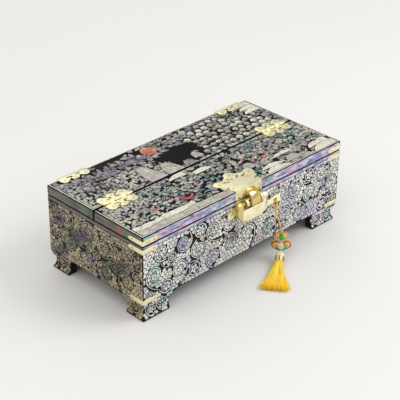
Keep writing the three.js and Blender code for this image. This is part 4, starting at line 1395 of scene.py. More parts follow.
    def fitted(self, node: Piece, outline: Outline, place: Matrix, out: Vector) -> Outline | None:
        """Draws the points of a bit of shell in until they all lie on a solid.

        Args:
            node: The solid.
            outline: The bit's outline.
            place: The matrix of the face.
            out: The way the face looks.

        Returns:
            The outline drawn in, or None where it can't be kept.
        """
        mx, my = (sum(part) / len(outline) for part in zip(*outline))
        kept = []
        for x, y in outline:
            for share in (1, 0.85, 0.7, 0.55, 0.4, 0.25):
                spot = (mx + (x - mx) * share, my + (y - my) * share) if share < 1 else (x, y)
                if self.landed(node, place @ Vector((*spot, 0)), out):
                    kept.append(spot)
                    break
            else:
                return None
        return kept

    def landed(self, node: Piece, point: Vector, out: Vector) -> Vector | None:
        """Drops a point straight onto a solid.

        Args:
            node: The solid.
            point: The point.
            out: The way its face looks.

        Returns:
            Where it lands, or None where it misses the outer face.
        """
        start = point + out * 0.002
        hit, place, normal, _ = node.ray_cast(start, -out, distance=0.0075)
        return place if hit and normal.dot(out) > 0.3 else None


def face_of(name: str, facing: Facing) -> tuple[Vector, float, float]:
    """Finds a flat side of a solid.

    Args:
        name: The solid's name.
        facing: The way the side looks.

    Returns:
        The middle of its foot in metres, and its width and height in millimetres.
    """
    low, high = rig.box(name)
    right, up = (Vector(axis) for axis in facing.value)
    out = right.cross(up)
    middle = (low + high) / 2
    face = Vector((high[i] if out[i] > 0.5 else low[i] if out[i] < -0.5 else middle[i] for i in range(3)))
    face.z = low.z
    return face, abs((high - low).dot(right)) / MM, (high.z - low.z) / MM


def band_finish(facing: Facing) -> ShellFinish:
    """Gives the streaky pearl band of a side: violet in front and on the right; on the left and behind a dark copy,
    which is painted shade.
    """
    bright = facing in (Facing.FRONT, Facing.RIGHT)
    stretch = (0.5, 1, 2.2) if facing in (Facing.FRONT, Facing.BACK) else (1, 0.5, 2.2)
    # Painted shade: the bands on the left and behind take the dark copy.
    sort = Pearl.IRIS if bright else Pearl.UMBER
    teal, rose, blue, green, brick = ((0.16, 0.46, 0.38), (0.74, 0.36, 0.52), (0.20, 0.22, 0.60), (0.05, 0.22, 0.12),
                                      (0.36, 0.08, 0.07))
    clouds = [ColourCloud((x, -0.065, z), radius, colour, 0.75) for x, z, radius, colour in (
        (-0.134, 0.090, 0.004, teal), (-0.118, 0.090, 0.003, rose), (-0.104, 0.089, 0.004, blue),
        (-0.088, 0.082, 0.004, rose), (-0.066, 0.090, 0.003, blue), (-0.040, 0.089, 0.003, teal),
        (0.030, 0.090, 0.005, teal), (0.062, 0.089, 0.003, rose), (0.086, 0.090, 0.003, teal),
        (0.104, 0.089, 0.006, blue), (0.046, 0.082, 0.004, rose), (-0.012, 0.082, 0.003, teal))]
    clouds += [ColourCloud((-0.140, y, 0.089), radius, colour, 0.75) for y, radius, colour in (
        (0.052, 0.003, green), (0.016, 0.002, green), (-0.034, 0.003, brick), (-0.046, 0.004, green))]
    return ShellFinish(f"band_{facing.name.lower()}", sort, 150, 330, 0.06, 0.5, stretch, tuple(clouds))


# Lid


class Ground(Enum):
    """Ways of paving, as (share covered, length, width, fill, roughness, cut, sorts of shell)."""

    SKY = (-0.2, 8.0, 3.0, 1.0, 0.4, Cut.LEAF, (Pearl.GREY, Pearl.PLUM))
    STREAKS = (1.0, 13.0, 2.6, 1.6, 0.5, Cut.PETAL, (Pearl.GREY, Pearl.SEA, Pearl.GREY, Pearl.PLUM, Pearl.GREY))
    FOLIAGE = (1.0, 9.0, 2.5, 1.55, 0.35, Cut.LEAF, (Pearl.SAND, Pearl.GREY, Pearl.SAND))
    ROCK = (1.1, 12.0, 3.2, 1.8, 0.3, Cut.LEAF, (Pearl.PLUM, Pearl.GREY, Pearl.PLUM))
    WATER = (1.0, 13.0, 2.6, 1.6, 0.5, Cut.PETAL, (Pearl.GREY, Pearl.SEA, Pearl.SAND, Pearl.GREY, Pearl.PLUM))
    MEADOW = (1.1, 10.0, 2.7, 1.8, 0.35, Cut.LEAF,
              (Pearl.SEA, Pearl.SAND, Pearl.GREY, Pearl.SAND, Pearl.SAND, Pearl.CLAY))
    RIFT = (0.5, 8.0, 3.0, 1.4, 0.4, Cut.LEAF, (Pearl.GREY, Pearl.SAND))


@dataclass
class LidPicture:
    """A landscape in shell on the lid: sun, peaks, pines and water, on two leaves."""

    half_length: float = 137.6
    edge: float = 2.2
    gap: float = 0.3
    sun_place: tuple[float, float] = (-21.0, 56.0)
    sun_radius: float = 8.6
    tuft_radius: float = 3.8
    tries: int = 22000
    clump_count: int = 260
    seed: int = 11

    def build(self, nodes: dict[str, Piece]) -> None:
        """Dresses both leaves.

        Args:
            nodes: The frame's solids by name.
        """
        self.chance = random.Random(self.seed)
        self.shapes: list[tuple[Pearl, Outline]] = []
        self.guards: Stroke = []
        self.dark: list[Stroke] = []
        self.leaves: dict[str, tuple[float, float]] = {}
        for name, body in (("lid_rear_leaf", "rear_leaf"), ("lid_front_leaf", "front_leaf")):
            coat(nodes[name], INLAY_BLACK)
            low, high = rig.box(name)
            self.top = high.z
            front = low.y / MM + (self.edge if body == "front_leaf" else 1.2)
            back = high.y / MM - (self.edge if body == "rear_leaf" else 1.2)
            self.leaves[body] = (front, back)
            self.edges(name, body)
        x, y = self.sun_place
        self.add_shape(Pearl.CORAL, ring(x, y, self.sun_radius, 36))
        self.accents()
        self.strata()
        self.peaks()
        self.tufts()
        self.clumps = [(self.chance.uniform(-137, 137), self.chance.uniform(-66, 70)) for _ in range(self.clump_count)]
        for x, y in self.clumps:
            self.fan(x, y)
        for body, (low, high) in self.leaves.items():
            self.pave(body, low, high)

    def add_shape(self, sort: Pearl, outline: Outline, clear: float = 0.6) -> bool:
        """Takes a shape into the picture if it lies on one leaf and clear of the others.

        Args:
            sort: The shell that it is cut from.
            outline: Its outline.
            clear: How far it has to stay from the others.

        Returns:
            Whether it was taken.
        """
        on_leaf = any(all(low <= y <= high and abs(x) <= self.half_length for x, y in outline)
                      for low, high in self.leaves.values())
        spots = np.array([(x, y) for x, y, _ in self.guards]).reshape(-1, 2)
        for x, y in outline:
            if not on_leaf or (len(spots) and np.hypot(spots[:, 0] - x, spots[:, 1] - y).min() < clear):
                return False
        if any(inside(other, *outline[0]) or inside(outline, *other[0]) for _, other in self.shapes):
            return False
        self.shapes.append((sort, outline))
        self.guards += filled([(x, y, 0.0) for x, y in outline + outline[:1]])
        return True

    def tufts(self) -> None:
        """Sets the round tufts of a great pine in rows over the back right of the lid."""
        for row in range(7):
            for column in range(12):
                x = 24 + 4.7 * (row % 2) + 9.4 * column + self.chance.uniform(-1.1, 1.1)
                y = 14 + row * 7.9 + self.chance.uniform(-0.9, 0.9)
                size = self.tuft_radius * self.chance.uniform(0.78, 1.1)
                sort = self.chance.choice((Pearl.MOSS, Pearl.MOSS, Pearl.SAND))
                if self.chance.random() < 0.1 or x > 126 or (row > 4 and column < 1):
                    continue
                if abs(x - 110) < 22 and (y > 50 or y < 20):
                    continue
                if self.add_shape(sort, ring(x, y, size, 27, 9, 0.07), 0.3):
                    self.dark.append(spiral(x, y, 0.72 * size, 0.8 * size, 3.4, 2.6, 0.55))
                    self.dark += self.needles(x, y - 0.6 * size, size, 30, 150, 5)

    def needles(self, x: float, y: float, length: float, first: float, last: float, count: int) -> list[Stroke]:
        """Draws needles that spread from a foot.

        Args:
            x: The foot.
            y: The foot.
            length: Their length.
            first: The angle of the first one, in degrees.
            last: The angle of the last one.
            count: How many there are.

        Returns:
            The lines.
        """
        drawn = []
        for k in range(count):
            angle = math.radians(first + (last - first) * k / (count - 1))
            drawn.append([(x + length * t * math.cos(angle), y + length * t * math.sin(angle), 0.16)
                          for t in (0.35, 1.05)])
        return drawn

    def fan(self, x: float, y: float) -> None:
        """Cuts a spray of pine twigs as curved dark lines that spread from a foot."""
        low = y > 0
        ground = self.zone(x, y)
        if ground is Ground.SKY or any(inside(outline, x, y) for _, outline in self.shapes):
            return
        flat = ground in (Ground.STREAKS, Ground.WATER)
        for k in range(7):
            angle = math.radians((-20 if flat else 10) + (40 if flat else 160) * k / 6 + self.chance.uniform(-9, 9))
            length = self.chance.uniform(4.5, 8.0)
            bend = self.chance.uniform(-0.5, 0.5)
            twig = []
            for t, half in ((0.2, 0.32), (0.55, 0.34), (1.0, 0.08)):
                turn = angle + bend * t
                twig.append((x + length * t * math.cos(turn), y - 2.5 + length * t * math.sin(turn), half))
            if all((py > 0) == low and not any(inside(o, px, py) for _, o in self.shapes) for px, py, _ in twig):
                self.dark.append(twig)

    def accents(self) -> None:
        """Sets curled clouds and dots in coral, teal, rose and violet."""
        curls = ((Pearl.CORAL, -58, -36, 8, 0.2, 4.2), (Pearl.ROSE, -98, -33, 7, 0.6, 4.0),
                 (Pearl.TEAL, -69, -22, 8, 2.8, 3.2), (Pearl.TEAL, -108, -43, 5, 3.4, 3.4),
                 (Pearl.VIOLET, -32, -26, 6, 0.4, 3.6), (Pearl.TEAL, -16, -33, 6, 2.2, 3.4),
                 (Pearl.TEAL, -36, -47, 5, 2.8, 3.0), (Pearl.VIOLET, -86, -46, 5, 3.3, 3.2),
                 (Pearl.TEAL, 97, -28, 5, 0.4, 4.0), (Pearl.ROSE, 85, -34, 4, 2.4, 3.4),
                 (Pearl.ROSE, 52, -10, 5, 3.3, 3.0), (Pearl.TEAL, 24, -12, 5, 2.4, 3.2),
                 (Pearl.VIOLET, 128, 30, 6, 2.4, 3.2), (Pearl.TEAL, 40, 5, 5, 3.0, 2.8))
        for sort, x, y, radius, start, sweep in curls:
            line = []
            for k in range(11):
                t = k / 10
                angle, reach = start - sweep * t, radius * (1 - 0.35 * t)
                line.append((x + reach * math.cos(angle), y + 0.8 * reach * math.sin(angle),
                             0.22 * radius * math.sin(math.pi * (0.1 + 0.8 * t))))
            self.add_shape(sort, ribbon(line))
        for sort, x, y, radius in ((Pearl.CORAL, 56, -33, 2.6), (Pearl.TEAL, 112, -18, 2.6), (Pearl.ROSE, 34, -24, 2),
                                   (Pearl.CORAL, -50, -12, 1.6), (Pearl.CORAL, 120, -38, 1.8)):
            self.add_shape(sort, ring(x, y, radius, 12))

    def strata(self) -> None:
        """Lays the pale shores: long wavy plates one above another."""
        front, seam_front = self.leaves["front_leaf"]
        _, back = self.leaves["rear_leaf"]
        for left, right, low, high, rows in (
                (-137, 24, front, -46, 2), (33, 66, front, -47, 2), (104, 137, front, -44, 2),
                (-50, 4, -13, seam_front, 2), (114, 137, 46, back, 3), (54, 92, -43, -38, 1)):
            pitch = (high - low) / rows
            for row in range(rows):
                x = left
                while x < right - 8:
                    end = min(right, x + self.chance.uniform(20, 52))
                    steps = max(3, round((end - x) / 3))
                    line = [x + (end - x) * k / steps for k in range(steps + 1)]
                    foot = [(v, max(low, low + pitch * row + self.lift(v, row))) for v in line]
                    open_above = row == rows - 1 and high < back - 1 and high != seam_front
                    top = []
                    for v, y in foot:
                        rise = min(high, low + pitch * (row + 1) + self.lift(v, row + 1) - 0.5) - y
                        if open_above:
                            rise += 3.0 * noise_at(v * 0.07, 3.3, 1.7) - self.chance.uniform(0, 1.6)
                        ends = [(v - left) / 11 if left > -130 else 1.0, (right - v) / 11 if right < 130 else 1.0]
                        top.append((v, y + max(0.5, rise * math.sqrt(min(1.0, max(0.02, min(ends)))))))
                    foot = [(min(px, self.half_length), py) for px, py in foot]
                    sort = Pearl.SAND if row == 0 and left < -100 else Pearl.MOSS
                    self.add_shape(sort, [(max(px, -self.half_length), py) for px, py in foot + top[::-1]], 0.22)
                    x = end + 0.4

    def lift(self, x: float, row: int) -> float:
        """Gives how far the foot of a row of long plates is lifted at a spot."""
        return 2.2 * noise_at(x * 0.045, row * 0.6, 8.8) if row else 0.0

    def peaks(self) -> None:
        """Sets steep rocks with jagged sides and dark clefts."""
        rows = ((Pearl.SAND, -63, 5, 22, 40), (Pearl.SAND, -39, 5, 22, 27), (Pearl.GREY, -14, 5, 16, 13),
                (Pearl.PLUM, -92, 42, 24, 14), (Pearl.PLUM, -58, 47, 18, 10), (Pearl.SAND, 4, 12, 12, 14),
                (Pearl.SAND, 6, 1.6, 22, 7), (Pearl.GREY, 96, 48, 22, 14), (Pearl.SAND, 104, 2, 22, 8),
                (Pearl.SAND, 68, -58, 22, 12), (Pearl.GREY, 22, -42, 18, 14), (Pearl.SAND, 46, -32, 16, 10))
        for sort, x, y, width, height in rows:
            outline = [(x, y), (x + width / 2, y - 0.2), (x + width, y)]
            for k in range(17, -1, -1):
                t = (k + 0.5) / 18
                rise = height * (1 - abs(2 * t - 0.9) ** 3) * (self.chance.uniform(0.82, 1.0) if k % 2 else 0.72)
                outline.append((x + width * t + self.chance.uniform(-0.3, 0.3), y + max(1.5, rise)))
            if self.add_shape(sort, outline):
                for t in (0.25, 0.45, 0.7):
                    cleft = [(x + width * t + 2 * u - 1, y + height * (0.75 - 0.7 * u), 0.12 + 0.3 * u * (1 - u))
                             for u in (0.0, 0.3, 0.6, 1.0)]
                    self.dark.append(cleft)

    def zone(self, x: float, y: float) -> Ground:
        """Says how a spot of the picture is paved."""
        if y > 0:
            if (-136 < x < -24 and y > 57) or (-38 < x < 26 and 7 < y < 45):
                return Ground.SKY
            if x > 20:
                return Ground.STREAKS if y > 10 else Ground.MEADOW
            if y > 38:
                return Ground.ROCK if x < -30 else Ground.STREAKS
            return Ground.FOLIAGE if x < -60 else Ground.WATER
        if abs(x - 40 - 0.9 * y) < 12:
            return Ground.RIFT
        if x < -94:
            return Ground.FOLIAGE
        return Ground.WATER if x < 20 else Ground.MEADOW

    def shards(self, low: float, high: float) -> list[Bit]:
        """Throws seeds over a leaf, each clear of the others, and makes bits of them.

        Args:
            low: Where the leaf's picture ends in front.
            high: Where it ends behind.

        Returns:
            The bits of shell.
        """
        bits: list[Bit] = []
        spots = np.zeros((self.tries, 2))
        feet = np.array(self.clumps)
        around = [(*map(sum, zip(*o)), len(o), o) for _, o in self.shapes]
        around = [(x / n, y / n, max(math.hypot(x / n - a, y / n - b) for a, b in o), o) for x, y, n, o in around]
        for _ in range(self.tries):
            x = self.chance.uniform(-self.half_length, self.half_length)
            y = self.chance.uniform(low, high)
            pick, lean = self.chance.random(), self.chance.random()
            warped = (x + 9 * noise_at(x * 0.05, y * 0.05, 2.2), y + (6 * noise_at(x * 0.05, y * 0.05, 9.1)))
            ground = self.zone(warped[0], max(0.5, warped[1]) if low > 0 else min(-0.5, warped[1]))
            share, length, width, fill, rough, cut, sorts = ground.value
            if noise_at(x * 0.12, y * 0.2, 5.1) > 0.8 * (share - 0.5):
                continue
            turn = 0.9 * noise_at(x * 0.025, y * 0.04, 1.3) + (lean - 0.5) * 2 * rough
            if cut is Cut.LEAF:
                near = feet[np.argmin(np.hypot(feet[:, 0] - x, feet[:, 1] - y))]
                turn = math.atan2(y - near[1] + 2.5, x - near[0]) + (lean - 0.5) * rough
            ca, sa = math.cos(turn), math.sin(turn)
            away = spots[:len(bits)] - (x, y)
            along, across = away @ (ca, sa) / length, away @ (-sa, ca) / width
            if len(bits) and (along * along + across * across).min() < 0.68:
                continue
            if any(math.hypot(x - a, y - b) < reach and inside(o, x, y) for a, b, reach, o in around):
                continue
            tone = 0.5 + 1.1 * noise_at(x * 0.05, y * 0.08, 3.7) + (pick - 0.5) * 0.5
            sort = sorts[max(0, min(len(sorts) - 1, int(tone * len(sorts))))]
            spots[len(bits)] = x, y
            bits.append(Bit(x, y, turn, length * fill, width * fill, cut, sort, rough))
        return bits

    def pave(self, body: str, low: float, high: float) -> None:
        """Paves what is left of a leaf with shards, and lays all its shell.

        Args:
            body: The leaf's body.
            low: Where the leaf's picture ends in front.
            high: Where it ends behind.
        """
        bits = self.shards(low, high)
        groups = grown(bits, [g for g in self.guards if low - 1 < g[1] < high + 1], self.gap, 16)
        for sort, outline in self.shapes:
            if low <= outline[0][1] <= high:
                groups.setdefault(sort, []).append(outline)
        place = Facing.TOP.place(Vector((0, 0, self.top)))
        for sort, outlines in groups.items():
            cut = clipped(outlines, self.half_length, low, high)
            plates = flat_plates(f"lid_{sort.name.lower()}_{body}", cut, SHELL_RISE, place)
            ink = {Pearl.SAND: 0.5, Pearl.GREY: 0.9, Pearl.SEA: 0.9, Pearl.PLUM: 0.9, Pearl.CLAY: 0.9}.get(sort, 0.0)
            finish = ShellFinish(f"lid_{sort.name.lower()}", sort, 60, 600, 0.05, 0.2, ink=ink,
                                 hole=1.0 if sort is Pearl.SAND else 0.61)
            dress(plates, finish, body, "lacquer")
        lines = [line for line in self.dark
                 if all(low + 0.4 < y < high - 0.4 and abs(x) < self.half_length - 0.4 for x, y, _ in line)]
        work = stroke_work(f"lid_veins_{body}", lines, 0.3, place @ Matrix.Translation((0, 0, SHELL_RISE)))
        dress(work, INLAY_BLACK, body, "lacquer")

    def edges(self, name: str, body: str) -> None:
        """Lays pearl bands on a leaf's outer edges and a pale line along its top edges, a painted highlight of the
        rounded edge.

        Args:
            name: The leaf's solid.
            body: The leaf's body.
        """
        end = Facing.BACK if body == "rear_leaf" else Facing.FRONT
        for facing in (end, Facing.LEFT, Facing.RIGHT):
            face, width, height = face_of(name, facing)
            half = width / 2 - 1.1
            strip = [[(-half, 0.7), (half, 0.7), (half, height - 1.1), (-half, height - 1.1)]]
            band = flat_plates(f"edge_{facing.name.lower()}_{body}", strip, SHELL_RISE, facing.place(face))
            dress(band, band_finish(facing), body, "lacquer")
        low, high = (value / MM for value in (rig.box(name)[0].y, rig.box(name)[1].y))
        near = high - 0.5 if body == "rear_leaf" else low + 0.5
        seam = low + 1 if body == "rear_leaf" else high - 1
        x = self.half_length + 1.9
        way = 1 if near > seam else -1
        line = [(-x, seam), (-x, near), (x, near), (x, seam), (x - 1.1, seam), (x - 1.1, near - 1.1 * way),
                (1.1 - x, near - 1.1 * way), (1.1 - x, seam)]
        # The pale line is a painted highlight along the top edges.
        rim = flat_plates(f"rim_{body}", [line], SHELL_RISE, Facing.TOP.place(Vector((0, 0, self.top))))
        dress(rim, ShellFinish("lid_rim", Pearl.MOSS, 60, 600, 0.05, 0.2), body, "lacquer")


def noise_at(x: float, y: float, z: float) -> float:
    """Gives smooth noise between about -1 and 1."""
    return noise_field.noise(Vector((x, y, z)))


def inside(outline: Outline, x: float, y: float) -> bool:
    """Tells whether a spot lies inside an outline."""
    within = False
    for (ax, ay), (bx, by) in zip(outline, outline[1:] + outline[:1]):
        if (ay > y) != (by > y) and x < ax + (bx - ax) * (y - ay) / (by - ay):
            within = not within
    return within


# Brass


@dataclass
class BrassWork:
    """Hinges, hasp, plates, strips and lock in polished brass, with their small nails."""

    polished: tuple[str, ...] = ("lock_body",)
    # The hook and the shackle take the darker brass, a painted dark reflection.
    painted_dark: tuple[str, ...] = ("lock_shackle", "hasp_hook")
    notch_rise: float = 0.04
    bevel: float = 0.00022
    nail_radius: float = 0.0008
    nail_rise: float = 0.00035

    def build(self, nodes: dict[str, Piece]) -> None:
        """Dresses every brass solid and drives the nails.

        Args:
            nodes: The frame's solids by name.
        """
        bodies = {node: body for body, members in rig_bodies().items() for node in members}
        for name, node in sorted(nodes.items()):
            if "_pin_" in name:
                coat(node, PIN_BRASS)
            elif name.startswith(("strip_", "mid_hinge", "rear_hinge", "hasp", "lock", "staple")):
                twin = refined_copy(node, f"dressed_{name}", self.bevel)
                finish = LOCK_BRASS if name in self.polished else HOOK_BRASS_PAINTED_DARK if name in self.painted_dark else BRASS
                dress(twin, finish, bodies[name], "brass")
                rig.replaces(twin, name)
        self.nails()
        bpy.context.view_layer.update()
        for name, seam in (("mid_hinge_rear", -1), ("mid_hinge_front", 1), ("rear_hinge_upper", 1)):
            for side in ("left", "right"):
                self.notches(f"{name}_{side}", bodies[f"{name}_{side}"], seam)
        self.notches("hasp_plate", "front_leaf", -1)

    def notches(self, name: str, body: str, seam: int) -> None:
        """Sets a dark notch wherever the outline of a flat plate draws in between two lobes.

        Args:
            name: The plate's solid.
            body: The body that it rides on.
            seam: The way along y in which its straight side lies.
        """
        plate = bpy.data.objects[f"dressed_{name}"]
        low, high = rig.box(name)
        middle, deck = (low + high) / 2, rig.box("hasp_plate")[1].z
        steps, reach = 90, []
        for k in range(steps):
            way = Vector((math.cos(TURN * k / steps), math.sin(TURN * k / steps), 0))
            far = 0.0
            while far < 0.03:
                start = Vector((middle.x, middle.y, deck + 0.001)) + way * (far + 0.0002)
                hit, place, _, _ = plate.ray_cast(start, Vector((0, 0, -1)), distance=0.002)
                if not hit or abs(place.z - deck) > 0.0002:
                    break
                far += 0.0002
            reach.append((far / MM, way))
        cuts: list[Outline] = []
        taken: Stroke = []
        for k, (far, way) in enumerate(reach):
            before = [reach[k - j][0] for j in (1, 2, 3, 4)]
            after = [reach[(k + j) % steps][0] for j in (1, 2, 3, 4)]
            dips = far < min(before) and far <= min(after) and far < max(before + after) - 0.4
            if dips and far > 3 and way.y * seam < 0.5:
                line = [(way.x * (far - back), way.y * (far - back), half)
                        for back, half in ((3.4, 0.25), (2.0, 0.7), (0.3, 0.8))]
                dense = filled(line, 0.3)
                if all(math.hypot(x - a, y - b) > half + other for x, y, half in dense for a, b, other in taken):
                    taken += dense
                    cuts.append(ribbon(line))
        if cuts:
            place = Facing.TOP.place(Vector((middle.x, middle.y, deck)))
            marks = flat_plates(f"notches_{name}", cuts, self.notch_rise, place)
            dress(marks, INLAY_BLACK, body, "brass")

    def nails(self) -> None:
        """Drives a domed nail at each place where a plate is fixed."""
        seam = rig.box("mid_hinge_rear_left")[0].y + 0.0013
        spots: dict[str, list[tuple[Vector, Vector]]] = {"case": [], "rear_leaf": [], "front_leaf": []}
        up, front, back = Vector((0, 0, 1)), Vector((0, -1, 0)), Vector((0, 1, 0))
        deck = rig.box("hasp_plate")[1].z
        for side in (-1, 1):
            for dx in (-0.0128, 0, 0.0128):
                depth = 0.0085 if dx else 0.0098
                spots["rear_leaf"].append((Vector((side * 0.110 + dx, seam + depth, deck)), up))
                spots["front_leaf"].append((Vector((side * 0.110 + dx, seam - depth, deck)), up))
                back_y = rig.box("lid_rear_leaf")[1].y
                spots["rear_leaf"].append((Vector((side * 0.110 + dx, back_y - 0.0065, deck)), up))
                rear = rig.box("rear_hinge_lower_left")
                spots["case"].append((Vector((side * 0.110 + dx, back_y + 0.0008, rear[0].z + 0.0078)), back))
        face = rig.box("hasp_plate")[0].y
        for x, y in ((-0.021, 0.0205), (0.021, 0.0205), (0, 0.0270), (-0.0155, 0.006), (0.0155, 0.006)):
            spots["front_leaf"].append((Vector((x, face + y, deck)), up))
        for x, z in ((-0.0152, 0.0910), (0.0152, 0.0910), (-0.0152, 0.0868), (0.0152, 0.0868)):
            spots["front_leaf"].append((Vector((x, face, z)), front))
        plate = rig.box("lock_plate")
        for x, z in ((-0.0245, 0.0119), (0.0245, 0.0119)):
            spots["case"].append((Vector((x, plate[0].y, plate[0].z + z - 0.0009)), front))
        self.strip_nails(spots)
        for body, places in spots.items():
            nails = [self.nail(place, out) for place, out in places]
            dress(joined(nails, f"nails_{body}"), NAIL_BRASS, body, "brass")

    def strip_nails(self, spots: dict[str, list[tuple[Vector, Vector]]]) -> None:
        """Adds a nail near the point of each arm of the corner strips."""
        front, left, right = Vector((0, -1, 0)), Vector((-1, 0, 0)), Vector((1, 0, 0))
        for name, body in (("strip_bottom", "case"), ("strip_top", "case"), ("strip_lid", "front_leaf")):
            for side, out in (("left", left), ("right", right)):
                low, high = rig.box(f"{name}_{side}")
                z = (low.z + high.z) / 2
                corner = low.x if side == "left" else high.x
                inward = 1 if side == "left" else -1
                spots[body].append((Vector((corner + inward * 0.0145, low.y, z)), front))
                spots[body].append((Vector((corner, low.y + 0.0145, z)), out))

    def nail(self, place: Vector, out: Vector) -> Piece:
        """Makes one nail: a low dome with a flat rim.

        Args:
            place: The middle of its foot.
            out: The way it points.

        Returns:
            The nail.
        """
        head = primitive(bpy.ops.mesh.primitive_cylinder_add, vertices=12, radius=self.nail_radius,
                         depth=self.nail_rise)
        bpy.ops.object.mode_set(mode="EDIT")
        bpy.ops.mesh.select_all(action="DESELECT")
        bpy.ops.object.mode_set(mode="OBJECT")
        for face in head.data.polygons:
            face.select = face.normal.z > 0.9
        bpy.ops.object.mode_set(mode="EDIT")
        bpy.ops.mesh.inset(thickness=self.nail_radius * 0.35)
        bpy.ops.transform.translate(value=(0, 0, self.nail_rise * 0.6))
        bpy.ops.object.mode_set(mode="OBJECT")
        turn = out.to_track_quat("Z", "Y").to_matrix().to_4x4()
        head.data.transform(Matrix.Translation(place) @ turn)
        return head


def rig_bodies() -> dict[str, list[str]]:
    """Gives the nodes of each body, read from the loaded solids."""
    found: dict[str, list[str]] = {}
    for piece in bpy.data.objects:
        if "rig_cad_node" in piece:
            found.setdefault(piece["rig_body"], []).append(piece["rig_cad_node"])
    return found


# Inside


@dataclass
class VelvetInside:
    """The velvet floor, dividers, ring rolls and lid liner, and the mirror in its frame."""

    roll_count: int = 5
    crown: float = 0.0007
    voxel: float = 0.0022
    cap: float = 0.0012

    def build(self, nodes: dict[str, Piece]) -> None:
        """Dresses the inside of the case and of the lid.

        Args:
            nodes: The frame's solids by name.
        """
        for name in ("divider_long", "divider_rear_left", "divider_rear_right", "divider_front"):
            self.board(name, 0.0012)
        self.board("ring_bed", 0.002)
        self.pad("floor_pad", 0.0006, "case")
        self.pad("lid_liner", 0.0006, "rear_leaf")
        self.rolls()
        coat(nodes["mirror_frame"], SATIN_BLACK)
        coat(nodes["mirror"], MirrorFinish())

    def start(self, name: str) -> Piece:
        """Adds a block of the size and place of a soft solid."""
        low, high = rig.box(name)
        block = primitive(bpy.ops.mesh.primitive_cube_add, f"velvet_{name}", size=1, location=(low + high) / 2)
        block.scale = high - low
        settle(block)
        return block

    def board(self, name: str, rounding: float) -> None:
        """Covers a stiff board with velvet and rounds its edges.

        Args:
            name: The solid that it stands for.
            rounding: The radius of its edges.
        """
        piece = self.start(name)
        apply_modifier(piece, "BEVEL", width=rounding, segments=4, limit_method="NONE")
        smooth(piece, 60)
        dress(piece, VELVET, "case", "velvet")
        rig.replaces(piece, name)

    def pad(self, name: str, rounding: float, body: str) -> None:
        """Makes a thin pad whose face swells a little between its edges.

        Args:
            name: The solid that it stands for.
            rounding: The radius of its edges.
            body: The body that it rides on.
        """
        piece = self.start(name)
        with editing(piece):
            bpy.ops.mesh.subdivide(number_cuts=15)
        low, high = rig.box(name)
        middle, half = (low + high) / 2, (high - low) / 2
        face = -1 if name == "lid_liner" else 1
        for point in piece.data.vertices:
            a, b = (point.co.x - middle.x) / half.x, (point.co.y - middle.y) / half.y
            dip = self.crown * max(abs(a) ** 8, abs(b) ** 8)
            if face * (point.co.z - middle.z) > 0:
                point.co.z -= face * dip
        apply_modifier(piece, "BEVEL", width=rounding, segments=2, limit_method="ANGLE")
        smooth(piece, 60)
        dress(piece, VELVET, body, "velvet")
        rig.padded(piece, fill=0.4)
        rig.replaces(piece, name)

    def rolls(self) -> None:
        """Stuffs one ring roll as cloth round foam, and copies it in a row."""
        low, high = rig.box("ring_rolls")
        pitch = (high.y - low.y) / self.roll_count
        radius = (pitch - 0.0012) / 2
        height = high.z - low.z
        middle = Vector(((low.x + high.x) / 2, low.y + pitch / 2, low.z + height / 2))
        roll = primitive(bpy.ops.mesh.primitive_cylinder_add, "ring_roll", vertices=24, radius=radius,
                         depth=high.x - low.x - 0.002, location=middle, rotation=(0, math.pi / 2, 0))
        settle(roll)
        for point in roll.data.vertices:
            point.co.z = middle.z + (point.co.z - middle.z) * height / (2 * radius)
            if point.co.z < middle.z:
                point.co.z = middle.z + (point.co.z - middle.z) * 0.99
        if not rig.quick():
            self.stuffed(roll)
        else:
            apply_modifier(roll, "BEVEL", width=0.0015, segments=3, limit_method="ANGLE")
        smooth(roll, 60)
        rest = [copy_of(roll, Matrix.Translation((0, pitch * k, 0))) for k in range(1, self.roll_count)]
        row = joined([roll, *rest], "velvet_ring_rolls")
        dress(row, VELVET, "case", "velvet")
        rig.padded(row, fill=0.8)
        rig.replaces(row, "ring_rolls")

    def stuffed(self, piece: Piece) -> None:
        """Swells a piece under pressure as cloth, with a cap on how far a point moves.

        Args:
            piece: The piece, which keeps the simulated shape.
        """
        apply_modifier(piece, "REMESH", mode="VOXEL", voxel_size=self.voxel)
        rest = [point.co.copy() for point in piece.data.vertices]
        cloth = piece.modifiers.new("cloth", "CLOTH")
        cloth.settings.use_pressure = True
        cloth.settings.uniform_pressure_force = 4
        cloth.settings.effector_weights.gravity = 0
        cloth.point_cache.frame_start = 1
        cloth.point_cache.frame_end = 20
        scene = bpy.context.scene
        for frame in range(1, 21):
            scene.frame_set(frame)
        focus(piece)
        bpy.ops.object.modifier_apply(modifier=cloth.name)
        scene.frame_set(1)
        for point, start in zip(piece.data.vertices, rest):
            step = point.co - start
            if step.length > self.cap:
                point.co = start + step * (self.cap / step.length)
        low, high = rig.box("ring_rolls")
        pitch = (high.y - low.y) / self.roll_count
        middle = low.y + pitch / 2
        reach = max(abs(point.co.y - middle) for point in piece.data.vertices)
        squeeze = min(1.0, (pitch / 2 - 0.0002) / reach)
        for point in piece.data.vertices:
            point.co.y = middle + (point.co.y - middle) * squeeze
            point.co.z = min(max(point.co.z, low.z), high.z)
            point.co.x = min(max(point.co.x, low.x), high.x)
        apply_modifier(piece, "SUBSURF", levels=1, render_levels=1)


# Tassel


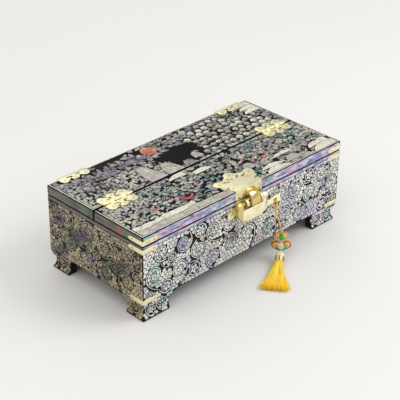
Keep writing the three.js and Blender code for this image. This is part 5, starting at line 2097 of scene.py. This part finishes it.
@dataclass
class Tassel:
    """The tassel on the lock: a braided cord through beads, a slit cap and a skirt of silk."""

    cord_radius: float = 0.8
    threads: int = 420
    seed: int = 5

    def build(self) -> None:
        """Makes the cord and all that hangs on it."""
        gold = ThreadFinish("golden_cord", (0.62, 0.24, 0.02), (0.95, 0.62, 0.12), (1400, 1400, 900))
        beads = self.beads()
        beads += self.cap()
        self.skirt()
        knot = self.knot(gold)
        back = self.back_strand(gold)
        route = self.route()
        cord = self.braid("tassel_braid", route, self.cord_radius)
        dress(cord, gold, "lock", "gold_cord")
        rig.replaces(cord, "tassel_loop", "tassel_cord")
        length = sum((b - a).length for a, b in zip(route, route[1:]))
        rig.cord(cord, exit=route[0], length=length, diameter=2 * self.cord_radius * MM, far_end="fitting",
                stiffness="limp", lay="hanging", path=route, with_pieces=[knot, back, *beads])

    def route(self) -> list[Vector]:
        """Gives the cord's way from the lock's tail through the beads to the cap, in metres."""
        chosen = ((34.8, -69.35, 68.4), (34.8, -71.43, 67.6), (35.1, -71.95, 64.1), (35.2, -71.3, 60.6),
                  (35.2, -70.95, 58.0), (35.2, -70.95, 55.8), (35.85, -72.75, 47.96), (37.02, -75.99, 40.12),
                  (37.8, -78.15, 33.4), (37.9, -78.4, 27.6), (37.8, -78.3, 21.5), (37.0, -78.6, 16.5),
                  (34.9, -80.2, 11.2))
        points = [Vector(p) * MM for p in chosen]
        return self.eased(points, 5)

    def eased(self, points: list[Vector], steps: int) -> list[Vector]:
        """Runs a smooth line through listed points.

        Args:
            points: The chosen points.
            steps: How many short steps each stretch gets.

        Returns:
            The points of the smooth line.
        """
        line = []
        padded = [points[0] * 2 - points[1], *points, points[-1] * 2 - points[-2]]
        for a, b, c, d in zip(padded, padded[1:], padded[2:], padded[3:]):
            for k in range(steps):
                t = k / steps
                line.append(0.5 * ((2 * b) + (c - a) * t + (2 * a - 5 * b + 4 * c - d) * t * t
                                   + (3 * b - a - 3 * c + d) * t ** 3))
        return [*line, points[-1]]

    def braid(self, name: str, route: list[Vector], radius: float) -> Piece:
        """Sweeps a three-lobed twisted section along a route.

        Args:
            name: The piece's name.
            route: The points of its middle line, in metres.
            radius: Its outer radius in millimetres.

        Returns:
            A closed tube.
        """
        sides = 12
        tube = primitive(bpy.ops.mesh.primitive_circle_add, name, vertices=sides, radius=1, fill_type="NGON")
        with editing(tube):
            for _ in route[1:]:
                bpy.ops.mesh.extrude_region_move(TRANSFORM_OT_translate={"value": (0, 0, 1)})
        frames = self.frames(route)
        pitch = 0.0034
        walked = 0.0
        lengths = [0.0]
        for a, b in zip(route, route[1:]):
            walked += (b - a).length
            lengths.append(walked)
        for point in tube.data.vertices:
            ring = min(len(route) - 1, round(point.co.z))
            angle = math.atan2(point.co.y, point.co.x)
            twist = TURN * lengths[ring] / pitch
            reach = radius * MM * (0.86 + 0.14 * math.cos(3 * (angle - twist)))
            across, over = frames[ring]
            point.co = route[ring] + across * (reach * math.cos(angle)) + over * (reach * math.sin(angle))
        tidy_mesh(tube, 1e-8)
        smooth(tube, 80)
        return tube

    def frames(self, route: list[Vector]) -> list[tuple[Vector, Vector]]:
        """Gives two directions across the route at each point, with no sudden turns."""
        across = Vector((1, 0, 0))
        made = []
        for k in range(len(route)):
            ahead = (route[min(k + 1, len(route) - 1)] - route[max(k - 1, 0)]).normalized()
            across = (across - ahead * across.dot(ahead)).normalized()
            made.append((across.copy(), ahead.cross(across)))
        return made

    def back_strand(self, gold: ThreadFinish) -> Piece:
        """Makes the loop's other strand, behind the tail."""
        chosen = ((34.8, -69.35, 68.4), (34.8, -67.3, 67.6), (35.1, -66.8, 64.1), (35.2, -68.6, 61.2),
                  (35.2, -69.9, 59.4))
        strand = self.braid("tassel_back_strand", self.eased([Vector(p) * MM for p in chosen], 5), self.cord_radius)
        return dress(strand, gold, "lock", "gold_cord")

    def knot(self, gold: ThreadFinish) -> Piece:
        """Winds a small round knot from four rings of cord."""
        low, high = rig.box("tassel_knot")
        middle = (low + high) / 2
        radius = (high.x - low.x) / 2
        parts = []
        for k in range(4):
            ring = primitive(bpy.ops.mesh.primitive_torus_add, major_radius=radius * 0.62,
                             minor_radius=radius * 0.38, major_segments=20, minor_segments=8)
            turn = Matrix.Rotation(math.pi * k / 4, 4, "Z") @ Matrix.Rotation(1.1, 4, "X")
            ring.data.transform(Matrix.Translation(middle) @ turn)
            parts.append(ring)
        knot = joined(parts, "tassel_wound_knot")
        smooth(knot, 80)
        dress(knot, gold, "lock", "gold_cord")
        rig.replaces(knot, "tassel_knot")
        return knot

    def beads(self) -> list[Piece]:
        """Makes the flower, its green bead and the winged bead below."""
        facing = Matrix.Rotation(-math.pi / 4, 4, "Z")
        low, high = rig.box("tassel_flower")
        middle = (low + high) / 2
        gilt = BrassFinish("gilt_flower", (0.95, 0.72, 0.30), 0.2, 0.4, 0.3)
        petals = []
        for k in range(8):
            angle = TURN * k / 8
            ring = primitive(bpy.ops.mesh.primitive_torus_add, major_radius=0.0019, minor_radius=0.00042,
                             major_segments=16, minor_segments=6)
            reach = Vector((0.0056 * math.cos(angle), 0, 0.0034 * math.sin(angle)))
            shape = Matrix.Rotation(math.pi / 2, 4, "X")
            ring.data.transform(Matrix.Translation(middle) @ facing @ Matrix.Translation(reach) @ shape)
            petals.append(ring)
        heart = primitive(bpy.ops.mesh.primitive_uv_sphere_add, segments=20, ring_count=10, radius=1)
        heart.data.transform(Matrix.Translation(middle) @ facing @ Matrix.Diagonal((0.0052, 0.0006, 0.0033, 1)))
        petals.append(heart)
        flower = joined(petals, "tassel_filigree_flower")
        smooth(flower, 60)
        dress(flower, gilt, "lock", "gilt_trim")
        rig.replaces(flower, "tassel_flower")

        green = self.ball("tassel_jade_bead", "tassel_green_bead")
        dress(green, EnamelFinish("jade_green", (0.01, 0.22, 0.03), (0.03, 0.42, 0.06)), "lock", "jade")
        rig.replaces(green, "tassel_green_bead")
        return [flower, green, *self.winged_bead(facing)]

    def ball(self, name: str, node: str) -> Piece:
        """Makes a bead with sunken poles in a node's place."""
        low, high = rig.box(node)
        ball = primitive(bpy.ops.mesh.primitive_uv_sphere_add, name, segments=28, ring_count=18, radius=1)
        half = (high - low) / 2
        for point in ball.data.vertices:
            if abs(point.co.z) > 0.93:
                point.co.z *= 0.90
        ball.data.transform(Matrix.Translation((low + high) / 2) @ Matrix.Diagonal((*half, 1)))
        smooth(ball, 70)
        return ball

    def winged_bead(self, facing: Matrix) -> list[Piece]:
        """Makes the enamelled bead: two orange wings with green eyes over a pale middle and a green bowl."""
        low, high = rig.box("tassel_main_bead")
        middle = (low + high) / 2
        here = Matrix.Translation(middle) @ facing
        body = self.blob("tassel_bead_middle", here, Vector((0, 0, -0.0004)), Vector((0.0052, 0.0036, 0.0050)))
        bowl = self.blob("tassel_bead_bowl", here, Vector((0, 0.0003, -0.0026)), Vector((0.0074, 0.0034, 0.0032)))
        wings, eyes, rims = [], [], []
        for side in (-1, 1):
            wings.append(self.blob(f"wing_{side}", here, Vector((side * 0.0056, 0, 0.0014)),
                                   Vector((0.0043, 0.0038, 0.0044))))
            eyes.append(self.blob(f"eye_{side}", here, Vector((side * 0.0050, -0.0033, 0.0010)),
                                  Vector((0.0018, 0.0009, 0.0019))))
            rim = primitive(bpy.ops.mesh.primitive_torus_add, major_radius=0.0041, minor_radius=0.0005,
                            major_segments=24, minor_segments=6)
            lie = Matrix.Translation((side * 0.0056, -0.0015, 0.0016)) @ Matrix.Rotation(math.pi / 2, 4, "X")
            rim.data.transform(here @ lie)
            rims.append(rim)
        made = [
            (joined(wings, "tassel_bead_wings"), EnamelFinish("orange_enamel", (0.80, 0.24, 0.01), (0.90, 0.42, 0.04))),
            (joined(eyes, "tassel_bead_eyes"), EnamelFinish("green_enamel", (0.03, 0.32, 0.12), (0.10, 0.50, 0.26))),
            (body, EnamelFinish("cream_enamel", (0.72, 0.70, 0.52), (0.52, 0.62, 0.42))),
            (bowl, EnamelFinish("deep_green_enamel", (0.02, 0.16, 0.09), (0.05, 0.30, 0.18))),
            (joined(rims, "tassel_bead_rims"), EnamelFinish("umber_enamel", (0.09, 0.03, 0.01), (0.16, 0.06, 0.02)))]
        for piece, finish in made:
            smooth(piece, 60)
            dress(piece, finish, "lock", "enamel")
        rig.replaces(body, "tassel_main_bead")
        return [piece for piece, _ in made]

    def blob(self, name: str, here: Matrix, offset: Vector, half: Vector) -> Piece:
        """Makes a rounded lump at an offset from the bead's middle."""
        lump = primitive(bpy.ops.mesh.primitive_uv_sphere_add, name, segments=24, ring_count=14, radius=1)
        for point in lump.data.vertices:
            point.co.z += 0.12 * point.co.x ** 2
        lump.data.transform(here @ Matrix.Translation(offset) @ Matrix.Diagonal((*half, 1)))
        return lump

    def cap(self) -> list[Piece]:
        """Dresses the cap and lays dark bars over its slits, painted shade of the openings."""
        tilt = math.pi / 6
        heading = Vector((-0.81, -0.59, 0)).normalized()
        lean = heading * math.cos(tilt) - Vector((0, 0, math.sin(tilt)))
        low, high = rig.box("tassel_cap")
        node = bpy.data.objects["tassel_cap"]
        cap = refined_copy(node, "tassel_slit_cap", 0.0003)
        finish = EnamelFinish("cream_gilt", (0.86, 0.72, 0.36), (0.95, 0.88, 0.62), 0.3)
        dress(cap, finish, "lock", "gilt_trim")
        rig.replaces(cap, "tassel_cap")
        middle = (low + high) / 2 + lean * 0.0014
        slits = []
        for k in range(7):
            angle = TURN * k / 7
            slit = primitive(bpy.ops.mesh.primitive_cube_add, size=1)
            slit.data.transform(Matrix.Diagonal((0.0012, 0.0006, 0.0060, 1)))
            apply_modifier(slit, "BEVEL", width=0.00025, segments=2, limit_method="NONE")
            turn = lean.to_track_quat("Z", "Y").to_matrix().to_4x4()
            out = Matrix.Rotation(angle, 4, "Z") @ Matrix.Translation((0, 0.00455, 0))
            slit.data.transform(Matrix.Translation(middle) @ turn @ out)
            slits.append(slit)
        # The dark bars are painted shade inside the cap's slits.
        bars = joined(slits, "tassel_cap_slits")
        dress(bars, EnamelFinish("slit_brown", (0.16, 0.07, 0.02), (0.28, 0.14, 0.04), 0.4), "lock",
              "gilt_trim")
        return [cap, bars]

    def skirt(self) -> None:
        """Lays hundreds of silk threads from the cap's mouth to the table."""
        chance = random.Random(self.seed)
        start, end = Vector((26.1, -86.6, 4.9)), Vector((-12.7, -114.9, 2.8))
        heading = (end - start)
        heading.z = 0
        heading.normalize()
        across = Vector((-heading.y, heading.x, 0))
        curve = bpy.data.curves.new("tassel_silk", "CURVE")
        curve.dimensions = "3D"
        curve.bevel_depth = 1
        curve.bevel_resolution = 0
        curve.use_fill_caps = True
        for _ in range(self.threads):
            a = chance.uniform(-1, 1)
            b = chance.uniform(-1, 1)
            if a * a + b * b > 1:
                a, b = 0.7 * a, 0.7 * b
            stray = chance.gauss(0, 0.08)
            full_length = chance.uniform(0.91, 1.0) - 0.02 * math.sin(9 * a) ** 2
            spline = curve.splines.new("POLY")
            steps = 8
            spline.points.add(steps)
            for k, knot in enumerate(spline.points):
                t = full_length * k / steps
                spread = t ** 1.4
                side = (a + stray * t) * (4.4 + (15.3 - 4.4) * spread)
                height = b * (4.3 + (2.0 - 4.3) * t)
                middle = start.lerp(end, t)
                middle.z = max(middle.z, 0.6 + 4.3 + (2.3 - 4.3) * t)
                sway = 0.5 * math.sin(7 * t + 9 * a)
                point = middle + across * (side + sway) + Vector((0, 0, height))
                point.z = max(0.55, point.z)
                knot.co = (*point, 1)
                knot.radius = 0.42 if k < steps else 0.25
        silk = finished_curve(curve, Matrix.Identity(4), Matrix.Scale(MM, 4))
        finish = ThreadFinish("yellow_silk", (1.0, 0.56, 0.02), (1.0, 0.86, 0.14), (60, 1500, 900),
                              (1.0, 0.88, 0.24), start * MM, lie=-math.atan2(heading.y, heading.x))
        dress(silk, finish, "lock", "silk")
        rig.replaces(silk, "tassel_skirt")


def note_sizes(cad: tuple[Vector, Vector]) -> None:
    """Writes the box of the solids and the box of the finished object as plain lists."""
    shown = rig.bounds()
    sizes = {"cad": [list(corner) for corner in cad], "visual": [list(corner) for corner in shown]}
    with open(SIZE_FILE, "w") as file:
        json.dump(sizes, file)


def main() -> None:
    """Loads the frame and builds the camera, the cord and then every sub-assembly."""
    logging.basicConfig(level=logging.INFO, format="%(message)s")
    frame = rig.load()
    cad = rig.bounds()
    nodes = frame["nodes"]
    Studio().build()
    Tassel().build()
    InlaidCase().build(nodes)
    LidPicture().build(nodes)
    BrassWork().build(nodes)
    VelvetInside().build(nodes)
    note_sizes(cad)


if __name__ == "__main__":
    main()
